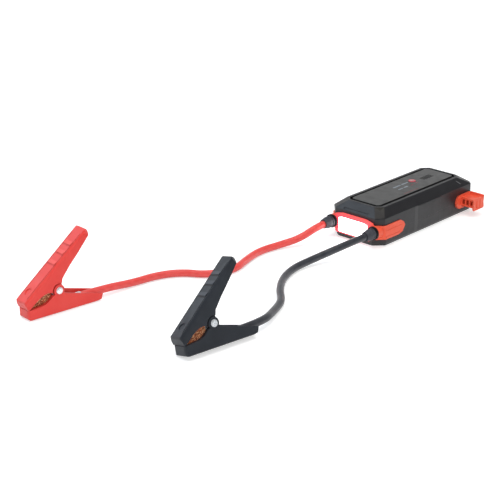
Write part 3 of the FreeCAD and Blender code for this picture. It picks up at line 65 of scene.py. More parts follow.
# %% Place the camera
AZIMUTH = math.radians(42.49)
ELEVATION = math.radians(21.61)
LOOKS_AT = Vector((-0.17424, -0.08444, -0.06089))
DISTANCE = 1.9053

towards_camera = Vector((
    math.sin(AZIMUTH) * math.cos(ELEVATION),
    -math.cos(AZIMUTH) * math.cos(ELEVATION),
    math.sin(ELEVATION),
))
camera_data = bpy.data.cameras.new("camera")
camera_data.sensor_width = 36.0
camera_data.lens = 108.0
camera_data.clip_start = 0.05
camera_data.clip_end = 50.0
camera = bpy.data.objects.new("camera", camera_data)
camera.location = LOOKS_AT + towards_camera * DISTANCE
camera.rotation_euler = (-towards_camera).to_track_quat("-Z", "Y").to_euler()
bpy.context.scene.collection.objects.link(camera)
bpy.context.scene.camera = camera
bpy.context.scene.view_settings.view_transform = "Standard"
print("camera stands at", [round(v, 3) for v in camera.location])

# %% [markdown]
# ## The two leads
# Each lead is about a third of a metre of thick, fairly stiff cable. It leaves its gland level,
# sinks to the ground in one soft bend, and runs in loose curves into the back of its clamp. A
# cable like this could be a chain of tubes, but a smooth curve with a round section bends as a
# real one does. The curve's control points stand outside its bends, and it cuts inside them.
# A curve's box is measured with its points' radii, so the cable's radius is given to the points,
# and the bevel depth, which is multiplied by it, is 1.

# %% Draw the leads as smooth curves
LEAD_RADIUS = 4.2 * MM

RED_ROUTE = [
    (-0.0310, -0.1010, 0.0187),
    (-0.0310, -0.1230, 0.0187),
    (-0.0370, -0.1480, 0.0088),
    (-0.0490, -0.1720, 0.0043),
    (-0.0530, -0.2010, 0.0043),
    (-0.0460, -0.2310, 0.0043),
    (-0.0355, -0.2610, 0.0043),
    (-0.0470, -0.2920, 0.0043),
    (-0.0740, -0.3070, 0.0043),
    (-0.0880, -0.3330, 0.0043),
    (-0.0920, -0.3640, 0.0043),
    (-0.09681, -0.39977, 0.00789),
    (-0.10175, -0.43442, 0.00789),
]
BLACK_ROUTE = [
    (0.0310, -0.1010, 0.0187),
    (0.0310, -0.1240, 0.0187),
    (0.0250, -0.1520, 0.0148),
    (0.0130, -0.1810, 0.0070),
    (0.0095, -0.2120, 0.0043),
    (0.0200, -0.2430, 0.0043),
    (0.0390, -0.2700, 0.0043),
    (0.0610, -0.2910, 0.0043),
    (0.0730, -0.3170, 0.0052),
    (0.08953, -0.35279, 0.00973),
    (0.08395, -0.39139, 0.00973),
]


def lay_lead(name, route):
    """A round cable along one smooth open curve through the route."""
    shape = bpy.data.curves.new(name, "CURVE")
    shape.dimensions = "3D"
    shape.bevel_depth = 1.0
    shape.bevel_resolution = 8
    shape.resolution_u = 24
    shape.use_fill_caps = True
    line = shape.splines.new("NURBS")
    line.points.add(len(route) - 1)
    for point, place in zip(line.points, route):
        point.co = (*place, 1.0)
        point.radius = LEAD_RADIUS
    line.order_u = 3
    line.use_endpoint_u = True
    lead = bpy.data.objects.new(name, shape)
    bpy.context.scene.collection.objects.link(lead)
    return lead


red_cable = lay_lead("red_cable", RED_ROUTE)
black_cable = lay_lead("black_cable", BLACK_ROUTE)
for cable, node, route, length in ((red_cable, "red_lead", RED_ROUTE, 0.360),
                                   (black_cable, "black_lead", BLACK_ROUTE, 0.316)):
    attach(cable, "pack")
    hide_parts(node)
    print(cable.name, "follows", len(route), "points")

# %% [markdown]
# ## How the finishes are made
# Every surface here is plastic, rubber or metal, and none of it is one flat colour. A moulding
# has a fine grain, uneven gloss where hands touch it, and edges that have rubbed a little paler.
# All of that can be built from noise in the object's own space, so it stays on the piece when
# the piece moves. The first helpers make the noise and turn it into a range or a colour.

# %% Helpers for colour and noise
def srgb(red, green, blue):
    """A colour as seen on a screen, 0 to 255, as linear light."""
    def linear(value):
        value /= 255
        return value / 12.92 if value <= 0.04045 else ((value + 0.055) / 1.055) ** 2.4
    return (linear(red), linear(green), linear(blue), 1.0)


def new_finish(name):
    """An empty finish: its material, node tree and shader."""
    material = bpy.data.materials.new(name)
    material.use_nodes = True
    tree = material.node_tree
    return material, tree, tree.nodes["Principled BSDF"]


def object_space(tree, stretch=(1, 1, 1), turn=(0, 0, 0), middle=(0, 0, 0)):
    """Coordinates in the object's own space, moved to a middle, turned and stretched."""
    place = tree.nodes.new("ShaderNodeTexCoord")
    mapping = tree.nodes.new("ShaderNodeMapping")
    mapping.vector_type = "TEXTURE" if any(middle) else "POINT"
    mapping.inputs["Location"].default_value = middle
    mapping.inputs["Rotation"].default_value = turn
    mapping.inputs["Scale"].default_value = stretch
    tree.links.new(place.outputs["Object"], mapping.inputs["Vector"])
    return mapping.outputs["Vector"]


def noise(tree, lump, detail=3.0, stretch=(1, 1, 1)):
    """Cloudy noise whose lumps are about `lump` metres across."""
    cloud = tree.nodes.new("ShaderNodeTexNoise")
    cloud.inputs["Scale"].default_value = 1 / lump
    cloud.inputs["Detail"].default_value = detail
    tree.links.new(object_space(tree, stretch), cloud.inputs["Vector"])
    return cloud.outputs["Fac"]


def ranged(tree, value, low, high, start=0.3, end=0.7):
    """A value that runs from start to end, carried to low to high."""
    span = tree.nodes.new("ShaderNodeMapRange")
    span.inputs["From Min"].default_value = start
    span.inputs["From Max"].default_value = end
    span.inputs["To Min"].default_value = low
    span.inputs["To Max"].default_value = high
    tree.links.new(value, span.inputs["Value"])
    return span.outputs["Result"]


def mixed(tree, amount, first, second):
    """One colour laid over another by an amount. Either may be a colour or a socket."""
    mix = tree.nodes.new("ShaderNodeMix")
    mix.data_type = "RGBA"
    tree.links.new(amount, mix.inputs["Factor"])
    for socket, colour in ((mix.inputs[6], first), (mix.inputs[7], second)):
        if isinstance(colour, tuple):
            socket.default_value = colour
        else:
            tree.links.new(colour, socket)
    return mix.outputs[2]


def maths(tree, operation, first, second):
    """One value made from two, such as their product or the larger of them."""
    node = tree.nodes.new("ShaderNodeMath")
    node.operation = operation
    tree.links.new(first, node.inputs[0])
    tree.links.new(second, node.inputs[1])
    return node.outputs["Value"]


print("middle grey on a screen is", round(srgb(128, 128, 128)[0], 3), "in linear light")

# %% [markdown]
# ### Colouring one place
# Some places on a piece need a colour of their own. They could be cut out as faces, but the
# construction model's faces don't end there. A mask can: it is 1 between two distances along an
# axis, and several such bands multiplied make a box.

# %% Helpers for masks
def band(tree, axis, low, high, soft, space=None):
    """A mask that is 1 where X, Y or Z of a space, or of the object's own, is in a range."""
    split = tree.nodes.new("ShaderNodeSeparateXYZ")
    tree.links.new(space or object_space(tree), split.inputs["Vector"])
    above = ranged(tree, split.outputs[axis], 0.0, 1.0, low - soft, low + soft)
    below = ranged(tree, split.outputs[axis], 0.0, 1.0, high + soft, high - soft)
    return maths(tree, "MINIMUM", above, below)


def all_of(tree, masks):
    """A mask that is 1 only where all of several masks are."""
    result = masks[0]
    for mask in masks[1:]:
        result = maths(tree, "MULTIPLY", result, mask)
    return result


def tint(material, mask, colour):
    """Lays a colour over a finish where a mask is 1."""
    tree = material.node_tree
    shader = tree.nodes["Principled BSDF"]
    below = shader.inputs["Base Color"].links[0].from_socket
    tree.links.new(mixed(tree, mask, below, colour), shader.inputs["Base Color"])


# %% [markdown]
# ### Edges
# No moulded edge is sharp, and a thin line of light along it tells the eye so. The edges could be
# bevelled in the mesh, but the construction model's meshes stay as they are. A bevel node turns
# the surface's direction near an edge instead, and where that direction differs most from the
# flat one, the edge has rubbed paler.

# %% Helpers for edges and bumps
FULLY_ROUND, NEARLY_FLAT = 0.8, 0.995


def rounded_normal(tree, radius):
    """The surface's direction with its sharp edges rounded over."""
    bevel = tree.nodes.new("ShaderNodeBevel")
    bevel.samples = 6
    bevel.inputs["Radius"].default_value = radius
    return bevel.outputs["Normal"]


def worn_edges(tree, radius, strength):
    """How far a point lies on a rubbed edge, from 0 to the strength."""
    flat = tree.nodes.new("ShaderNodeNewGeometry")
    match = tree.nodes.new("ShaderNodeVectorMath")
    match.operation = "DOT_PRODUCT"
    tree.links.new(rounded_normal(tree, radius), match.inputs[0])
    tree.links.new(flat.outputs["True Normal"], match.inputs[1])
    return ranged(tree, match.outputs["Value"], strength, 0.0, FULLY_ROUND, NEARLY_FLAT)


def add_bumps(tree, shader, heights, edge):
    """Lays height patterns over the rounded normal. Each is a value and its depth in metres."""
    normal = rounded_normal(tree, edge)
    for height, depth in heights:
        bump = tree.nodes.new("ShaderNodeBump")
        bump.inputs["Distance"].default_value = depth
        bump.inputs["Strength"].default_value = 1.0
        tree.links.new(height, bump.inputs["Height"])
        tree.links.new(normal, bump.inputs["Normal"])
        normal = bump.outputs["Normal"]
    tree.links.new(normal, shader.inputs["Normal"])


# %% [markdown]
# ### Moulded plastic
# Most pieces differ only in colour, gloss and grain, so one helper makes all their finishes, and
# a second one puts a finish on pieces of the construction model.

# %% Helpers for moulded pieces
WEAR = 0.6
WEAR_REACH = 0.7 * MM
COLOUR_PATCH = 28 * MM
GLOSS_PATCH = 9 * MM


def moulded(name, colour, rubbed, gloss=(0.4, 0.55), grain=0.45 * MM, depth=0.02 * MM,
            edge=0.35 * MM, specular=0.5):
    """Moulded plastic or rubber: grain, uneven gloss, and paler rubbed edges."""
    material, tree, shader = new_finish(name)
    patches = ranged(tree, noise(tree, COLOUR_PATCH), 0.0, 0.35)
    shade = mixed(tree, patches, colour, rubbed)
    shade = mixed(tree, worn_edges(tree, min(edge * 1.5, WEAR_REACH), WEAR), shade, rubbed)
    tree.links.new(shade, shader.inputs["Base Color"])
    tree.links.new(ranged(tree, noise(tree, GLOSS_PATCH), *gloss), shader.inputs["Roughness"])
    shader.inputs["Specular IOR Level"].default_value = specular
    add_bumps(tree, shader, [(noise(tree, grain, 2.0), depth)], edge)
    return material


def dress(material, *names):
    """Gives a finish to pieces of the construction model."""
    for name in names:
        for slot in frame["nodes"][name].material_slots:
            slot.material = material
    print(material.name, "on", ", ".join(names))


# %% [markdown]
# ## The housing
# The two shells are moulded in dark grey plastic with a fine spark-eroded grain. Seen close up,
# the grain breaks the light, and from a step away it only dulls the reflections. The top panel
# is a separate plate, smoother than the shells, so it mirrors more of the bright room. Two places
# get painted light: the short ramp at the front of the right side's raised middle is painted
# lighter as a highlight, and the moat round the panel is painted near-black as shade.

# %% Finish the shells and the top panel
RAMP_Y = (-26.3 * MM, -20.8 * MM)
RAMP_X = (37.9 * MM, 39.5 * MM)
MOAT_X = 27.2 * MM
MOAT_Y = 80.4 * MM
MOAT_Z = (38.0 * MM, 43.1 * MM)

housing_finish = moulded(
    "housing_moulding", srgb(29, 29, 32), srgb(44, 44, 47),
    gloss=(0.36, 0.46), edge=0.5 * MM)
tree = housing_finish.node_tree
# Painted highlight: the ramp at the front of the right side is painted lighter.
ramp_painted_highlight = all_of(tree, [band(tree, "Y", *RAMP_Y, 0.6 * MM),
                           band(tree, "X", *RAMP_X, 0.1 * MM)])
tint(housing_finish, ramp_painted_highlight, srgb(62, 62, 63))
# Painted shade: the moat round the panel is painted near-black.
moat_painted_shade = all_of(tree, [band(tree, "X", -MOAT_X, MOAT_X, 0.2 * MM),
                     band(tree, "Y", -MOAT_Y, MOAT_Y, 0.2 * MM),
                     band(tree, "Z", *MOAT_Z, 0.2 * MM)])
tint(housing_finish, moat_painted_shade, srgb(8, 8, 9))
dress(housing_finish, "lower_shell", "upper_shell")

panel_finish = moulded(
    "panel_moulding", srgb(34, 35, 35), srgb(46, 47, 47),
    gloss=(0.28, 0.38), grain=0.3 * MM, depth=0.006 * MM, edge=0.25 * MM, specular=0.42)
dress(panel_finish, "top_panel")

# %% [markdown]
# ## The orange mouldings
# The lamp's frame and the two clamp holders are the same orange red plastic. Round the lens the
# frame has a painted pink glow: an emission that stands in for the lamp's light spilling over it.
# The glow is made from the distance to the lens in the object's own space.

# %% Finish the orange pieces
LAMP_MIDDLE = (0.0, -0.0964, 0.0173)
LAMP_HALF = (0.0212, 0.020, 0.0093)
GLOW = 0.75
GLOW_REACH = 9 * MM
ORANGE = srgb(232, 84, 56)
ORANGE_RUBBED = srgb(240, 112, 84)

orange_finish = moulded(
    "orange_moulding", ORANGE, ORANGE_RUBBED, gloss=(0.35, 0.5), edge=0.3 * MM, specular=0.4)
dress(orange_finish, "clamp_holder_left", "clamp_holder_right")


def frame_with_painted_glow():
    """The orange plastic with a painted pink glow near the lens."""
    material = orange_finish.copy()
    material.name = "orange_with_painted_glow"
    tree = material.node_tree
    shader = tree.nodes["Principled BSDF"]
    box = tree.nodes.new("ShaderNodeVectorMath")
    box.operation = "ABSOLUTE"
    tree.links.new(object_space(tree, middle=LAMP_MIDDLE), box.inputs[0])
    outside = tree.nodes.new("ShaderNodeVectorMath")
    outside.operation = "SUBTRACT"
    outside.inputs[1].default_value = LAMP_HALF
    tree.links.new(box.outputs["Vector"], outside.inputs[0])
    clear = tree.nodes.new("ShaderNodeVectorMath")
    clear.operation = "MAXIMUM"
    clear.inputs[1].default_value = (0, 0, 0)
    tree.links.new(outside.outputs["Vector"], clear.inputs[0])
    reach = tree.nodes.new("ShaderNodeVectorMath")
    reach.operation = "LENGTH"
    tree.links.new(clear.outputs["Vector"], reach.inputs[0])
    # Painted glow: pink emission that fades with the distance from the lens.
    glow = ranged(tree, reach.outputs["Value"], GLOW, 0.0, 0.0, GLOW_REACH)
    shader.inputs["Emission Color"].default_value = srgb(255, 70, 120)
    tree.links.new(glow, shader.inputs["Emission Strength"])
    return material


frame_glow_finish = frame_with_painted_glow()
dress(frame_glow_finish, "front_frame")

# %% [markdown]
# ## The lamp
# The lens is a frosted window over a row of small light sources, and it is lit. A frosted window
# spreads the light so evenly that the camera sees plain white. It could be glass in front of
# real lamps, which renders slowly and noisily. A softly glowing surface looks the same.

# %% Finish the lamp
LENS_GLOW = (4.0, 5.0)
SPOTS = 20.0


def lit_lens():
    """Frosted plastic that glows, a little brighter over each light source."""
    material, tree, shader = new_finish("lit_lens")
    shader.inputs["Base Color"].default_value = srgb(245, 247, 250)
    shader.inputs["Roughness"].default_value = 0.35
    shader.inputs["Emission Color"].default_value = (1.0, 0.99, 0.985, 1.0)
    spots = tree.nodes.new("ShaderNodeTexWave")
    spots.bands_direction = "X"
    spots.inputs["Scale"].default_value = SPOTS
    tree.links.new(object_space(tree), spots.inputs["Vector"])
    tree.links.new(ranged(tree, spots.outputs["Fac"], *LENS_GLOW, 0.0, 1.0),
                   shader.inputs["Emission Strength"])
    add_bumps(tree, shader, [(noise(tree, 0.5 * MM), 0.01 * MM)], 0.3 * MM)
    return material


dress(lit_lens(), "lamp_lens")
dress(moulded("white_moulding", srgb(228, 228, 230), srgb(240, 240, 240), specular=0.6),
      "lamp_reflector")
dress(moulded("chip_gel", srgb(240, 225, 150), srgb(250, 240, 190), gloss=(0.2, 0.3)),
      "light_chips")

# %% [markdown]
# ## The window, the button and the charging socket
# The window is a strip of smoke dark plastic, polished, with fine scratches. The button's cap is
# red, because light comes through its rim.

# %% Finish the controls
def dark_window():
    """Polished smoke dark plastic with hairline scratches."""
    material, tree, shader = new_finish("smoke_window")
    shader.inputs["Base Color"].default_value = srgb(8, 8, 9)
    scratches = noise(tree, 2 * MM, 6.0, (1.0, 9.0, 1.0))
    tree.links.new(ranged(tree, scratches, 0.12, 0.22), shader.inputs["Roughness"])
    shader.inputs["Specular IOR Level"].default_value = 0.05
    add_bumps(tree, shader, [(scratches, 0.002 * MM)], 0.2 * MM)
    return material


dress(dark_window(), "display_window")
dress(moulded("button_cap_red", srgb(172, 40, 57), srgb(198, 84, 96), gloss=(0.3, 0.4),
              grain=0.3 * MM, depth=0.008 * MM, edge=0.3 * MM), "power_button")
dress(moulded("socket_plastic", srgb(34, 34, 36), srgb(60, 60, 62), edge=0.15 * MM),
      "charge_socket", "button_switch", "display_module", "board_parts")

# %% [markdown]
# ## Rubber: the glands and the cable jackets
# The glands are soft dark rubber, duller than the housing, with painted shade where they sit in
# the frame. The jackets are smooth and satin, so a long pale highlight runs along each lead.

# %% Finish the glands and the leads
GLAND_ROOT_Y = (-99.8 * MM, -90.0 * MM)

gland_finish = moulded(
    "gland_moulding", srgb(52, 54, 61), srgb(88, 90, 96), gloss=(0.5, 0.65), grain=0.6 * MM,
    depth=0.015 * MM, edge=0.5 * MM, specular=0.4)
# Painted shade: the glands are painted darker where they sit in the frame.
gland_root_painted_shade = band(gland_finish.node_tree, "Y", *GLAND_ROOT_Y, 0.4 * MM)
tint(gland_finish, gland_root_painted_shade, srgb(20, 20, 23))
dress(gland_finish, "cable_gland_red", "cable_gland_black")


def jacket(name, colour, rubbed):
    """A smooth cable jacket with faint unevenness and dust."""
    material, tree, shader = new_finish(name)
    dust = ranged(tree, noise(tree, 6 * MM, 5.0), 0.0, 0.5)
    tree.links.new(mixed(tree, dust, colour, rubbed), shader.inputs["Base Color"])
    tree.links.new(ranged(tree, noise(tree, 14 * MM), 0.28, 0.42), shader.inputs["Roughness"])
    shader.inputs["Specular IOR Level"].default_value = 0.5
    ripple = tree.nodes.new("ShaderNodeBump")
    ripple.inputs["Distance"].default_value = 0.05 * MM
    ripple.inputs["Strength"].default_value = 1.0
    tree.links.new(noise(tree, 2.5 * MM, 2.0), ripple.inputs["Height"])
    tree.links.new(ripple.outputs["Normal"], shader.inputs["Normal"])
    return material


red_jacket = jacket("red_jacket", srgb(222, 70, 66), srgb(230, 94, 88))
black_jacket = jacket("black_jacket", srgb(48, 50, 56), srgb(70, 72, 78))
red_cable.data.materials.append(red_jacket)
black_cable.data.materials.append(black_jacket)
dress(red_jacket, "red_lead")
dress(black_jacket, "black_lead", "inner_leads")

# %% [markdown]
# ## The clamps
# The arms of each clamp are satin plastic mouldings, one red and one black, with rounded edges
# that rub paler than the rest.

# %% Finish the clamps
red_clamp_finish = moulded(
    "red_clamp_moulding", srgb(222, 60, 54), srgb(232, 88, 80), gloss=(0.38, 0.5),
    grain=0.4 * MM, depth=0.012 * MM, edge=0.9 * MM, specular=0.4)
black_clamp_finish = moulded(
    "black_clamp_moulding", srgb(34, 38, 44), srgb(54, 58, 66), gloss=(0.38, 0.5),
    grain=0.4 * MM, depth=0.015 * MM, edge=0.9 * MM, specular=0.35)
dress(red_clamp_finish, "red_lower_arm")
dress(black_clamp_finish, "black_lower_arm")

# %% [markdown]
# ### The backs of the handles
# The upper arm's back has three ridges for the thumb and a groove along each edge. The ridges get
# painted highlights, and their steps and the grooves get painted shade. Each clamp lies turned and
# leaning, so the masks for them are made in the clamp's own space: its place, its heading round Z
# and its lean are taken off first, and then the slope of the back.

# %% Paint highlights and shade on the ridges and grooves of the handles
CLAMPS = {
    "red": {"place": Vector((-110.8, -499.8, 0.3)) * MM,
            "heading": math.radians(81.88), "lean": math.radians(2.1)},
    "black": {"place": Vector((76.5, -457.0, 2.4)) * MM,
              "heading": math.radians(81.77), "lean": math.radians(15.4)},
}
BACK_START = (-3.5 * MM, 0, 21.0 * MM)
BACK_LONG = 97.8 * MM
BACK_SLOPE = math.atan2(61.0, 76.5)
BACK_DEPTH = (-0.9 * MM, 2.0 * MM)
RIDGES = (0.51, 0.655, 0.78)
RIDGE_TOP = (0.4 * MM, 5.0 * MM)
RIDGE_STEP = (-1.3 * MM, 0.1 * MM)
RIDGE_HALF = 6.7 * MM
LINE_FROM_MIDDLE = 7.3 * MM
LINE_HALF = 0.5 * MM
LINE_STOP = 5.0 * MM


def back_space(tree, side):
    """Coordinates on the back of an upper arm: X along it, Y across and Z out of it."""
    clamp = CLAMPS[side]
    level = object_space(tree, middle=clamp["place"], turn=(-clamp["lean"], 0, clamp["heading"]))
    back = tree.nodes.new("ShaderNodeMapping")
    back.vector_type = "TEXTURE"
    back.inputs["Location"].default_value = BACK_START
    back.inputs["Rotation"].default_value = (0, -BACK_SLOPE, 0)
    tree.links.new(level, back.inputs["Vector"])
    return back.outputs["Vector"]


def arm_finish(material, side, painted_highlight, painted_shade):
    """The upper arm's finish: painted highlights on the ridges, painted shade on their steps and
    grooves.
    """
    material = material.copy()
    material.name += "_back"
    tree = material.node_tree
    space = back_space(tree, side)
    surface = band(tree, "Z", *BACK_DEPTH, 0.1 * MM, space)
    middle = band(tree, "Y", -RIDGE_HALF, RIDGE_HALF, 0.2 * MM, space)
    for share in RIDGES:
        foot = share * BACK_LONG
        top = band(tree, "X", foot + RIDGE_TOP[0], foot + RIDGE_TOP[1], 0.5 * MM, space)
        step = band(tree, "X", foot + RIDGE_STEP[0], foot + RIDGE_STEP[1], 0.3 * MM, space)
        # Each ridge gets a painted highlight on its top and painted shade on its step.
        tint(material, all_of(tree, [surface, middle, top]), painted_highlight)
        tint(material, all_of(tree, [surface, middle, step]), painted_shade)
    # Painted shade along the groove by each edge.
    length = band(tree, "X", LINE_STOP, BACK_LONG - LINE_STOP, 0.3 * MM, space)
    for centre in (-LINE_FROM_MIDDLE, LINE_FROM_MIDDLE):
        line = band(tree, "Y", centre - LINE_HALF, centre + LINE_HALF, 0.15 * MM, space)
        tint(material, all_of(tree, [surface, length, line]), painted_shade)
    return material


dress(arm_finish(red_clamp_finish, "red", srgb(231, 82, 75), srgb(208, 56, 51)),
      "red_upper_arm")
dress(arm_finish(black_clamp_finish, "black", srgb(58, 63, 71), srgb(14, 15, 18)),
      "black_upper_arm")

# %% [markdown]
# ### Metal, and what is inside
# The jaws are pressed copper sheet with a woven pattern rolled into it, dull where it has been
# handled. The rivets are zinc plated and bright. A wholly metallic surface shows only what it
# mirrors, and such small pieces would turn dark or white as a whole. At half metallic they keep
# some colour of their own. What lies inside the housing gets plain finishes of its kind.

# %% Finish the metal pieces and what is inside
HALF_METALLIC = 0.5
THREADS = 230.0


def metal(name, colour, dull, gloss=(0.2, 0.35)):
    """Bare metal with duller patches and fine marks."""
    material, tree, shader = new_finish(name)
    shader.inputs["Metallic"].default_value = 1.0
    patches = ranged(tree, noise(tree, 4 * MM, 5.0), 0.0, 1.0)
    tree.links.new(mixed(tree, patches, colour, dull), shader.inputs["Base Color"])
    marks = noise(tree, 0.6 * MM, 4.0)
    tree.links.new(ranged(tree, marks, *gloss), shader.inputs["Roughness"])
    add_bumps(tree, shader, [(marks, 0.01 * MM)], 0.2 * MM)
    return material


def woven_copper():
    """Copper sheet with a pattern of small raised diamonds, and painted glints in small pale
    patches.
    """
    material = metal("woven_copper", srgb(196, 108, 68), srgb(128, 58, 36), (0.25, 0.45))
    tree = material.node_tree
    shader = tree.nodes["Principled BSDF"]
    shader.inputs["Metallic"].default_value = HALF_METALLIC
    # Painted glints: small patches of the copper are painted pale and warm.
    painted_glints = ranged(tree, noise(tree, 1.1 * MM, 1.0), 0.0, 1.0, 0.5, 0.62)
    tint(material, painted_glints, srgb(255, 196, 148))
    threads = []
    for turn in (math.radians(45), math.radians(-45)):
        wave = tree.nodes.new("ShaderNodeTexWave")
        wave.bands_direction = "X"
        wave.inputs["Scale"].default_value = THREADS
        wave.inputs["Distortion"].default_value = 1.0
        tree.links.new(object_space(tree, turn=(turn, turn, turn)), wave.inputs["Vector"])
        threads.append(wave.outputs["Fac"])
    weave = maths(tree, "MAXIMUM", *threads)
    add_bumps(tree, shader, [(weave, 0.4 * MM)], 0.2 * MM)
    return material


dress(woven_copper(), "red_lower_jaw", "red_upper_jaw", "black_lower_jaw", "black_upper_jaw")
zinc = metal("bright_zinc", srgb(250, 252, 254), srgb(214, 222, 230), (0.2, 0.34))
zinc.node_tree.nodes["Principled BSDF"].inputs["Metallic"].default_value = HALF_METALLIC
dress(zinc, "red_pivot_rivet", "black_pivot_rivet", "housing_screws", "holder_screws",
      "red_lead_crimp", "black_lead_crimp")
dress(metal("tinned_copper", srgb(220, 190, 170), srgb(170, 120, 96)), "lead_lugs", "bus_bars")
dress(metal("foil_of_the_cells", srgb(190, 192, 198), srgb(160, 162, 168), (0.35, 0.5)),
      "battery_cells", "heat_sink")
dress(moulded("board_lacquer", srgb(28, 92, 58), srgb(44, 120, 80), gloss=(0.25, 0.35)),
      "main_board", "display_board", "lamp_board", "socket_board")
dress(moulded("soft_foam", srgb(48, 48, 50), srgb(64, 64, 66), gloss=(0.8, 0.95)), "cell_pads")

# %% [markdown]
# ## Small pieces on the top panel
# The button carries a pale lens with a power symbol on it. Beside it the panel has a few printed
# bars, and in the window there are unlit segments. Each of them is a thin solid whose top stands
# a hair above the surface that carries it, so that no two visible faces lie in one place.

# %% Helpers for modelling
def nothing_selected():
    """Leaves edit mode and clears the selection."""
    if bpy.context.object and bpy.context.object.mode != "OBJECT":
        bpy.ops.object.mode_set(mode="OBJECT")
    bpy.ops.object.select_all(action="DESELECT")


def shaped(name):
    """Names the piece that was just added."""
    piece = bpy.context.object
    piece.name = name
    piece.data.name = name
    return piece


def settle(piece, finish, body):
    """Puts a piece's place into its mesh, gives it a finish, and lets it ride on a body."""
    nothing_selected()
    piece.select_set(True)
    bpy.context.view_layer.objects.active = piece
    bpy.ops.object.transform_apply(location=True, rotation=True, scale=True)
    piece.data.materials.clear()
    piece.data.materials.append(finish)
    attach(piece, body)
    print(piece.name, "has", len(piece.data.polygons), "faces")


def soften(piece, width):
    """Bevels a piece's sharp edges and applies the modifier."""
    nothing_selected()
    piece.select_set(True)
    bpy.context.view_layer.objects.active = piece
    bevel = piece.modifiers.new("bevel", "BEVEL")
    bevel.width = width
    bevel.segments = 2
    bevel.limit_method = "ANGLE"
    bevel.angle_limit = math.radians(35)
    bpy.ops.object.modifier_apply(modifier=bevel.name)


def join(name, pieces):
    """Joins several pieces into one."""
    nothing_selected()
    for piece in pieces:
        piece.select_set(True)
    bpy.context.view_layer.objects.active = pieces[0]
    bpy.ops.object.join()
    return shaped(name)


# %% [markdown]
# ### The button's lens
# The lens is a shallow disc: a cylinder whose top is inset and raised a little, with a soft rim.

# %% Model the button's lens
BUTTON = Vector((-4.9, 23.9, 0.0)) * MM
BUTTON_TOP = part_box("power_button")[1].z
LENS_RADIUS = 2.5 * MM
LENS_HIGH = 0.25 * MM
LENS_RIM = 0.35 * MM
LENS_CROWN = 0.06 * MM

nothing_selected()
bpy.ops.mesh.primitive_cylinder_add(
    vertices=64, radius=LENS_RADIUS, depth=LENS_HIGH,
    location=(BUTTON.x, BUTTON.y, BUTTON_TOP + LENS_HIGH / 2))
button_lens = shaped("button_lens")
bpy.ops.object.mode_set(mode="EDIT")
bpy.ops.mesh.select_mode(type="FACE")
bpy.ops.mesh.select_all(action="DESELECT")
bpy.ops.object.mode_set(mode="OBJECT")
for face in button_lens.data.polygons:
    face.select = face.normal.z > 0.9
bpy.ops.object.mode_set(mode="EDIT")
bpy.ops.mesh.inset(thickness=LENS_RIM)
bpy.ops.transform.translate(value=(0, 0, LENS_CROWN))
bpy.ops.object.mode_set(mode="OBJECT")
soften(button_lens, 0.06 * MM)
bpy.ops.object.shade_smooth_by_angle(angle=math.radians(30))
pale_lens = moulded("pale_lens", srgb(176, 140, 136), srgb(196, 164, 160), gloss=(0.25, 0.35),
                    grain=0.3 * MM, depth=0.004 * MM, edge=0.1 * MM)
settle(button_lens, pale_lens, "button")
print("lens top at", round((BUTTON_TOP + LENS_HIGH + LENS_CROWN) / MM, 2), "mm")

# %% [markdown]
# ### The symbol on the lens
# The symbol is the usual broken ring with a bar in the gap. It could be cut from a tube, but it
# is simpler to spin one small face round the middle. It stands 0.07 mm above the lens.

# %% Model the symbol
SYMBOL_LOW = BUTTON_TOP + LENS_HIGH + 0.05 * MM
SYMBOL_HIGH = 0.08 * MM
SYMBOL_INNER = 1.35 * MM
SYMBOL_OUTER = 1.7 * MM
RING_START = math.radians(125)
RING_TURN = math.radians(290)
SYMBOL_BAR = (0.35 * MM, 1.3 * MM, SYMBOL_HIGH)


def symbol_face(inner, outer, angle):
    """A small upright face across the ring at an angle, ready to be spun."""
    nothing_selected()
    bpy.ops.mesh.primitive_plane_add(size=1.0, location=(0, 0, 0))
    piece = shaped("symbol_face")
    top = SYMBOL_LOW + SYMBOL_HIGH
    corners = ((inner, SYMBOL_LOW), (outer, SYMBOL_LOW), (inner, top), (outer, top))
    for vertex, (away, height) in zip(piece.data.vertices, corners):
        vertex.co = (away * math.cos(angle), away * math.sin(angle), height)
    return piece


ring = symbol_face(SYMBOL_INNER, SYMBOL_OUTER, RING_START)
bpy.ops.object.mode_set(mode="EDIT")
bpy.ops.mesh.select_all(action="SELECT")
bpy.ops.mesh.spin(steps=36, angle=RING_TURN, center=(0, 0, 0), axis=(0, 0, 1))
bpy.ops.mesh.select_all(action="SELECT")
bpy.ops.mesh.normals_make_consistent(inside=False)
bpy.ops.object.mode_set(mode="OBJECT")
ring.location = BUTTON

nothing_selected()
bpy.ops.mesh.primitive_cube_add(
    size=1.0, scale=SYMBOL_BAR,
    location=(BUTTON.x, BUTTON.y + SYMBOL_INNER, SYMBOL_LOW + SYMBOL_HIGH / 2))
bar = shaped("symbol_bar")
bpy.ops.object.transform_apply(location=False, rotation=False, scale=True)
soften(bar, 0.03 * MM)
symbol_finish = moulded("symbol_red", srgb(176, 40, 56), srgb(200, 80, 92), edge=0.05 * MM)
power_symbol = join("power_symbol", [ring, bar])
settle(power_symbol, symbol_finish, "button")

# %% [markdown]
# ### Printed bars
# The real panel has words printed on it. They are left off, and plain pale bars stand in their
# place. Near the button there are also small red marks, and a thin red line by the right edge.
# A print is ink on plastic. It is modelled as a thin slab with rounded corners, 0.06 mm thick.

# %% Model the printed bars
PANEL_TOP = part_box("top_panel")[1].z
INK = 0.06 * MM
ROUNDING = 0.45


